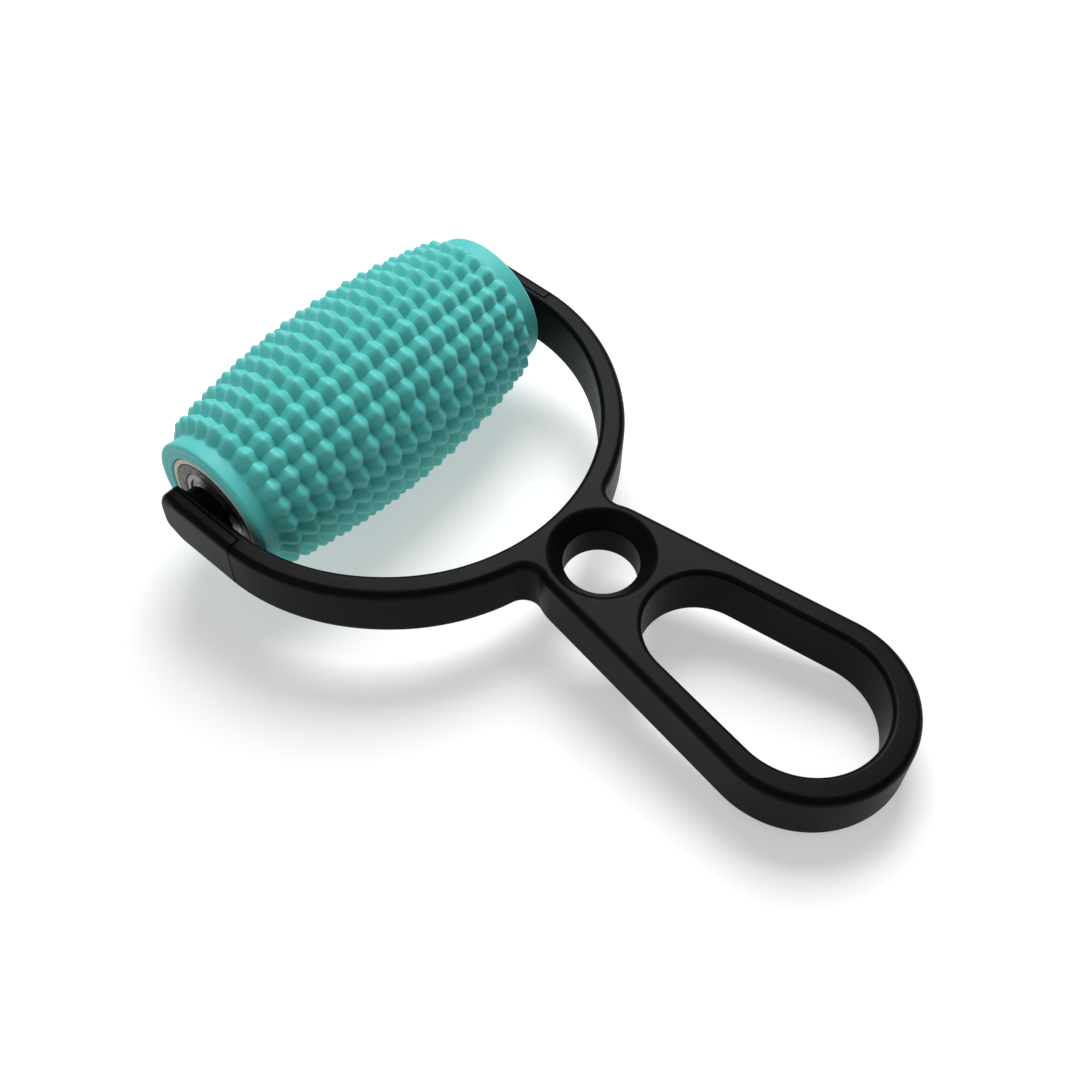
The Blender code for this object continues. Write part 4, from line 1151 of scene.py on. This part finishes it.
def cap_outline():
    """An arm cap from above: flush with the arm outside, flat against the tongue inside."""
    line = Outline()
    bevel = SEAM_BEVEL
    line.add(CAP_INNER, CAP_START, (-bevel, -bevel), bevel)
    line.add(ARM_OUTER - bevel, CAP_START, (OUTER_ROUND, -bevel), OUTER_ROUND)
    line.add(ARM_OUTER, CAP_START + bevel, (OUTER_ROUND, 0), OUTER_ROUND)
    tip_side(line, ARM_OUTER, OUTER_ROUND, CAP_CORNER, 1, from_tip=False)
    tip_corner(line, ARM_OUTER, OUTER_ROUND, CAP_CORNER, 1, from_tip=False)
    tip_corner(line, CAP_INNER, bevel, bevel, -1, from_tip=True)
    tip_side(line, CAP_INNER, bevel, bevel, -1, from_tip=True)
    return line


print("outline points:", len(handle_outline().points), "handle,", len(loop_outline().points), "loop,",
      len(cap_outline().points), "cap")

# %% [markdown]
# ### Holes and bosses
#
# The finger hole is dished on both faces. Its rings join the handle's top and bottom before those are
# filled, so it needs no cutting. The bosses that hold the axle, and the bores through them, cross the
# arms sideways, so they are joined and cut with Booleans, which are applied at once.

# %% Build the handle
FINGER_RADIUS = 0.0099
FINGER_LAND = 0.0089
DISH_RADIUS, DISH_EASE = 0.0139, 0.0011
FINGER_STEPS = 180
BOSS_RADIUS, BOSS_ROOT_RADIUS = 0.0080, 0.0081
BOSS_WALL, BOSS_EASE, BOSS_FILLET = 0.0015, 0.0003, 0.0002
PEG_RADIUS, PEG_LENGTH = 0.0013, 0.0012
PEG_FROM_AXLE = (-0.0124, 0.0074)
PEG_EASE = 0.0002
SCREW_POCKET_GAP = 0.0007
CUT_PAST = 0.001
FILLET_STEPS = 6
BORE_STEPS, BORE_PHASE = 72, 0.02
PEG_STEPS, POCKET_STEPS = 32, 64


def finger_rings(bm):
    """The dished finger hole as rings from the bottom face to the top."""
    corners = [(HALF_PLATE, DISH_RADIUS + 0.004, 0), (HALF_PLATE, DISH_RADIUS, DISH_EASE),
               (FINGER_LAND / 2, FINGER_RADIUS, 0.00035), (0.0, FINGER_RADIUS, 0)]
    upper = eased(corners, 0.0005, steps=7, closed=False)[1:]
    profile = [(-z, radius, exposed) for z, radius, exposed in upper[:-1]] + upper[::-1]

    def around_hub(z, radius):
        return lambda angle: (radius * math.cos(angle), HUB_Y + radius * math.sin(angle), z)

    return [vertex_ring(bm, FINGER_STEPS, around_hub(z, radius), exposed)
            for z, radius, exposed in profile]


def carve(piece, tool_bm, operation):
    """Join a turned tool to a piece, or cut it out of it, at once."""
    bmesh.ops.recalc_face_normals(tool_bm, faces=tool_bm.faces)
    mesh = bpy.data.meshes.new("tool")
    tool_bm.to_mesh(mesh)
    tool_bm.free()
    mesh.shade_smooth()
    tool = bpy.data.objects.new("tool", mesh)
    bpy.context.scene.collection.objects.link(tool)
    modifier = piece.modifiers.new("carve", "BOOLEAN")
    modifier.operation, modifier.solver, modifier.object = operation, "EXACT", tool
    carved = bpy.data.meshes.new_from_object(piece.evaluated_get(bpy.context.evaluated_depsgraph_get()))
    piece.modifiers.clear()
    piece.data = carved
    bpy.data.objects.remove(tool)


def across_yoke(profile, side, offset=0.0, steps=96, phase=0.0):
    """A shape turned about a line parallel to the axle, placed on the tilted plate."""
    bm = turned(flipped([(x, r, 0.0) for x, r in profile], side), steps=steps, closed=False)
    bmesh.ops.rotate(bm, verts=bm.verts, matrix=Matrix.Rotation(phase, 3, "X"))
    bmesh.ops.transform(bm, matrix=YOKE @ Matrix.Translation((0, offset, 0)), verts=bm.verts)
    return bm


def make_handle_moulding():
    bm = bmesh.new()
    for rings in (handle_outline().rings(bm), loop_outline().rings(bm), finger_rings(bm)):
        skin(bm, rings)
    cap_both_faces(bm)
    moulding = piece_from(bm, "handle_moulding", "handle", ["handle_frame"],
                          frame_black, YOKE)
    boss_face = spacer_high.x + PRESS_GAP
    clamp_inner = AXLE_END + SEAM / 2
    clamp_outer = clamp_inner + BOSS_WALL
    sunk = (ARM_INNER + TONGUE_OUTER) / 2
    seat = AXLE_RADIUS + PRESS_GAP
    hole = SCREW_RADIUS + SCREW_CLEARANCE
    pocket = (washer_high.z - washer_low.z) / 2 + SCREW_CLEARANCE
    beyond = TONGUE_OUTER + CUT_PAST
    boss = [(boss_face, 0), (boss_face, BOSS_RADIUS - BOSS_EASE), (boss_face + BOSS_EASE, BOSS_RADIUS)]
    for k in range(FILLET_STEPS + 1):
        lean = math.pi / 2 * k / FILLET_STEPS
        boss.append((ARM_INNER - BOSS_FILLET * (1 - math.sin(lean)),
                     BOSS_ROOT_RADIUS + BOSS_FILLET * (1 - math.cos(lean))))
    boss += [(sunk, BOSS_ROOT_RADIUS + BOSS_FILLET), (sunk, 0)]
    bore_end = boss_face - CUT_PAST
    bore = [(bore_end, 0), (bore_end, seat), (clamp_inner, seat), (clamp_inner, hole), (clamp_outer, hole),
            (clamp_outer, pocket), (beyond, pocket), (beyond, 0)]
    socket_floor, socket_radius = TONGUE_OUTER - PEG_LENGTH - SEAM, PEG_RADIUS + PRESS_GAP
    socket = [(socket_floor, 0), (socket_floor, socket_radius), (beyond, socket_radius), (beyond, 0)]
    for side, _ in SIDES:
        carve(moulding, across_yoke(boss, side), "UNION")
        carve(moulding, across_yoke(bore, side, steps=BORE_STEPS, phase=BORE_PHASE), "DIFFERENCE")
        for offset in PEG_FROM_AXLE:
            carve(moulding, across_yoke(socket, side, offset, PEG_STEPS), "DIFFERENCE")
    even_shading(moulding)
    return moulding


handle_moulding = make_handle_moulding()
print(handle_moulding.name, len(handle_moulding.data.polygons), "faces")

# %% [markdown]
# ### Arm caps
#
# Each arm ends in a cap that hides the screw. It sits on two pegs, its outside is flush with the arm,
# and the joint shows as a fine line across the side and along the top. The small bevels along that
# line matter: they are what makes two mouldings look like two.

# %% Build the arm caps
def make_arm_cap(side, side_name):
    bm = bmesh.new()
    outline = cap_outline()
    outline.points = [(side * x, y, side * ix, iy, h) for x, y, ix, iy, h in outline.points]
    skin(bm, outline.rings(bm))
    cap_both_faces(bm)
    cap = piece_from(bm, f"{side_name}_arm_cap", "handle", [f"{side_name}_arm_cover"],
                     cap_black, YOKE)
    pocket_floor = screw_high.x + SEAM
    pocket_mouth, pocket_radius = CAP_INNER - CUT_PAST, HEAD_RADIUS + SCREW_POCKET_GAP
    pocket = [(pocket_mouth, 0), (pocket_mouth, pocket_radius), (pocket_floor, pocket_radius),
              (pocket_floor, 0)]
    carve(cap, across_yoke(pocket, side, steps=POCKET_STEPS), "DIFFERENCE")
    end, root = TONGUE_OUTER - PEG_LENGTH, CAP_INNER + CUT_PAST
    peg = [(end, 0), (end, PEG_RADIUS - PEG_EASE), (end + PEG_EASE, PEG_RADIUS), (root, PEG_RADIUS),
           (root, 0)]
    for offset in PEG_FROM_AXLE:
        carve(cap, across_yoke(peg, side, offset, PEG_STEPS), "UNION")
    even_shading(cap)
    return cap


for side, side_name in SIDES:
    cap = make_arm_cap(side, side_name)
    print(cap.name, len(cap.data.polygons), "faces")

# %% [markdown]
# ## Floor and light
#
# The object lies on a light table: a pale sheet that glows a little by itself, so it stays white and
# its shadows stay soft. One big soft light hangs above, to the right and a little behind. It makes the
# shadow that gathers under the handle and fades outwards. A faint light from the left shapes the bumps,
# and the world fills the rest. Black plastic shows what it reflects more than its own colour, so rays
# that bounce off glossy surfaces see a calmer world than the one that lights the scene, as if dark
# cloths hung round the table.

# %% Floor
FLOOR_HALF, FLOOR_GLOW = 3.0, 0.43


def make_floor():
    bm = bmesh.new()
    bmesh.ops.create_grid(bm, x_segments=8, y_segments=8, size=FLOOR_HALF)
    mesh = bpy.data.meshes.new("studio_floor")
    bm.to_mesh(mesh)
    bm.free()
    floor = bpy.data.objects.new("studio_floor", mesh)
    floor.location.z = cad_box[0].z
    bpy.context.scene.collection.objects.link(floor)
    material, tree, shader = start_finish(
        "pale_floor", Roughness=0.9, Specular_IOR_Level=0.1, Emission_Color=(1.0, 1.0, 1.0, 1.0),
        Emission_Strength=FLOOR_GLOW)
    patches = use_group(tree, "moulded_grain", grain_size=0.01, patch_size=0.8)
    wire(tree, two_tones(tree, patches.outputs["Patches"], (0.56, 0.56, 0.56), (0.58, 0.58, 0.58)),
         shader.inputs["Base Color"])
    mesh.materials.append(material)
    floor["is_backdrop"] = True
    return floor


floor = make_floor()
print(floor.name, "at height", floor.location.z)

# %% World and lights
WORLD_LIGHT, WORLD_IN_GLOSS = 0.30, 0.12


def make_world():
    world = bpy.data.worlds.new("soft_studio")
    world.use_nodes = True
    tree = world.node_tree
    shader = tree.nodes["Background"]
    ray = put(tree, "ShaderNodeLightPath")
    strength = spread(tree, ray.outputs["Is Glossy Ray"], 0.0, 1.0, WORLD_LIGHT, WORLD_IN_GLOSS)
    wire(tree, strength, shader.inputs["Strength"])
    shader.inputs["Color"].default_value = (1.0, 1.0, 1.0, 1.0)
    bpy.context.scene.world = world


def add_soft_light(name, size, watts, place, target):
    light = bpy.data.lights.new(name, "AREA")
    light.shape, light.size, light.size_y, light.energy = "RECTANGLE", size[0], size[1], watts
    lamp = bpy.data.objects.new(name, light)
    lamp.location = place
    lamp.rotation_mode = "QUATERNION"
    lamp.rotation_quaternion = (Vector(target) - Vector(place)).to_track_quat("-Z", "Y")
    bpy.context.scene.collection.objects.link(lamp)
    return lamp


make_world()
overhead = add_soft_light("overhead_softbox", (0.55, 0.55), 10.4, (0.44, 0.26, 0.80), (0, 0, 0))
left = add_soft_light("left_softbox", (0.5, 0.4), 0.45, (-0.60, 0.05, 0.42), (0, 0.05, 0.02))
bpy.context.scene.view_settings.view_transform = "Standard"
print("lights:", overhead.name, overhead.data.energy, "W,", left.name, left.data.energy, "W")

# %% [markdown]
# ## The size of the dressed model
#
# The dressed model has to fill the same box as the working model. Both boxes are printed, so they
# can be compared.

# %% Print the boxes
dressed_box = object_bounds()
for label, box in (("working model", cad_box), ("dressed model", dressed_box)):
    print(label, [[round(1000 * c, 2) for c in corner] for corner in box], "mm")
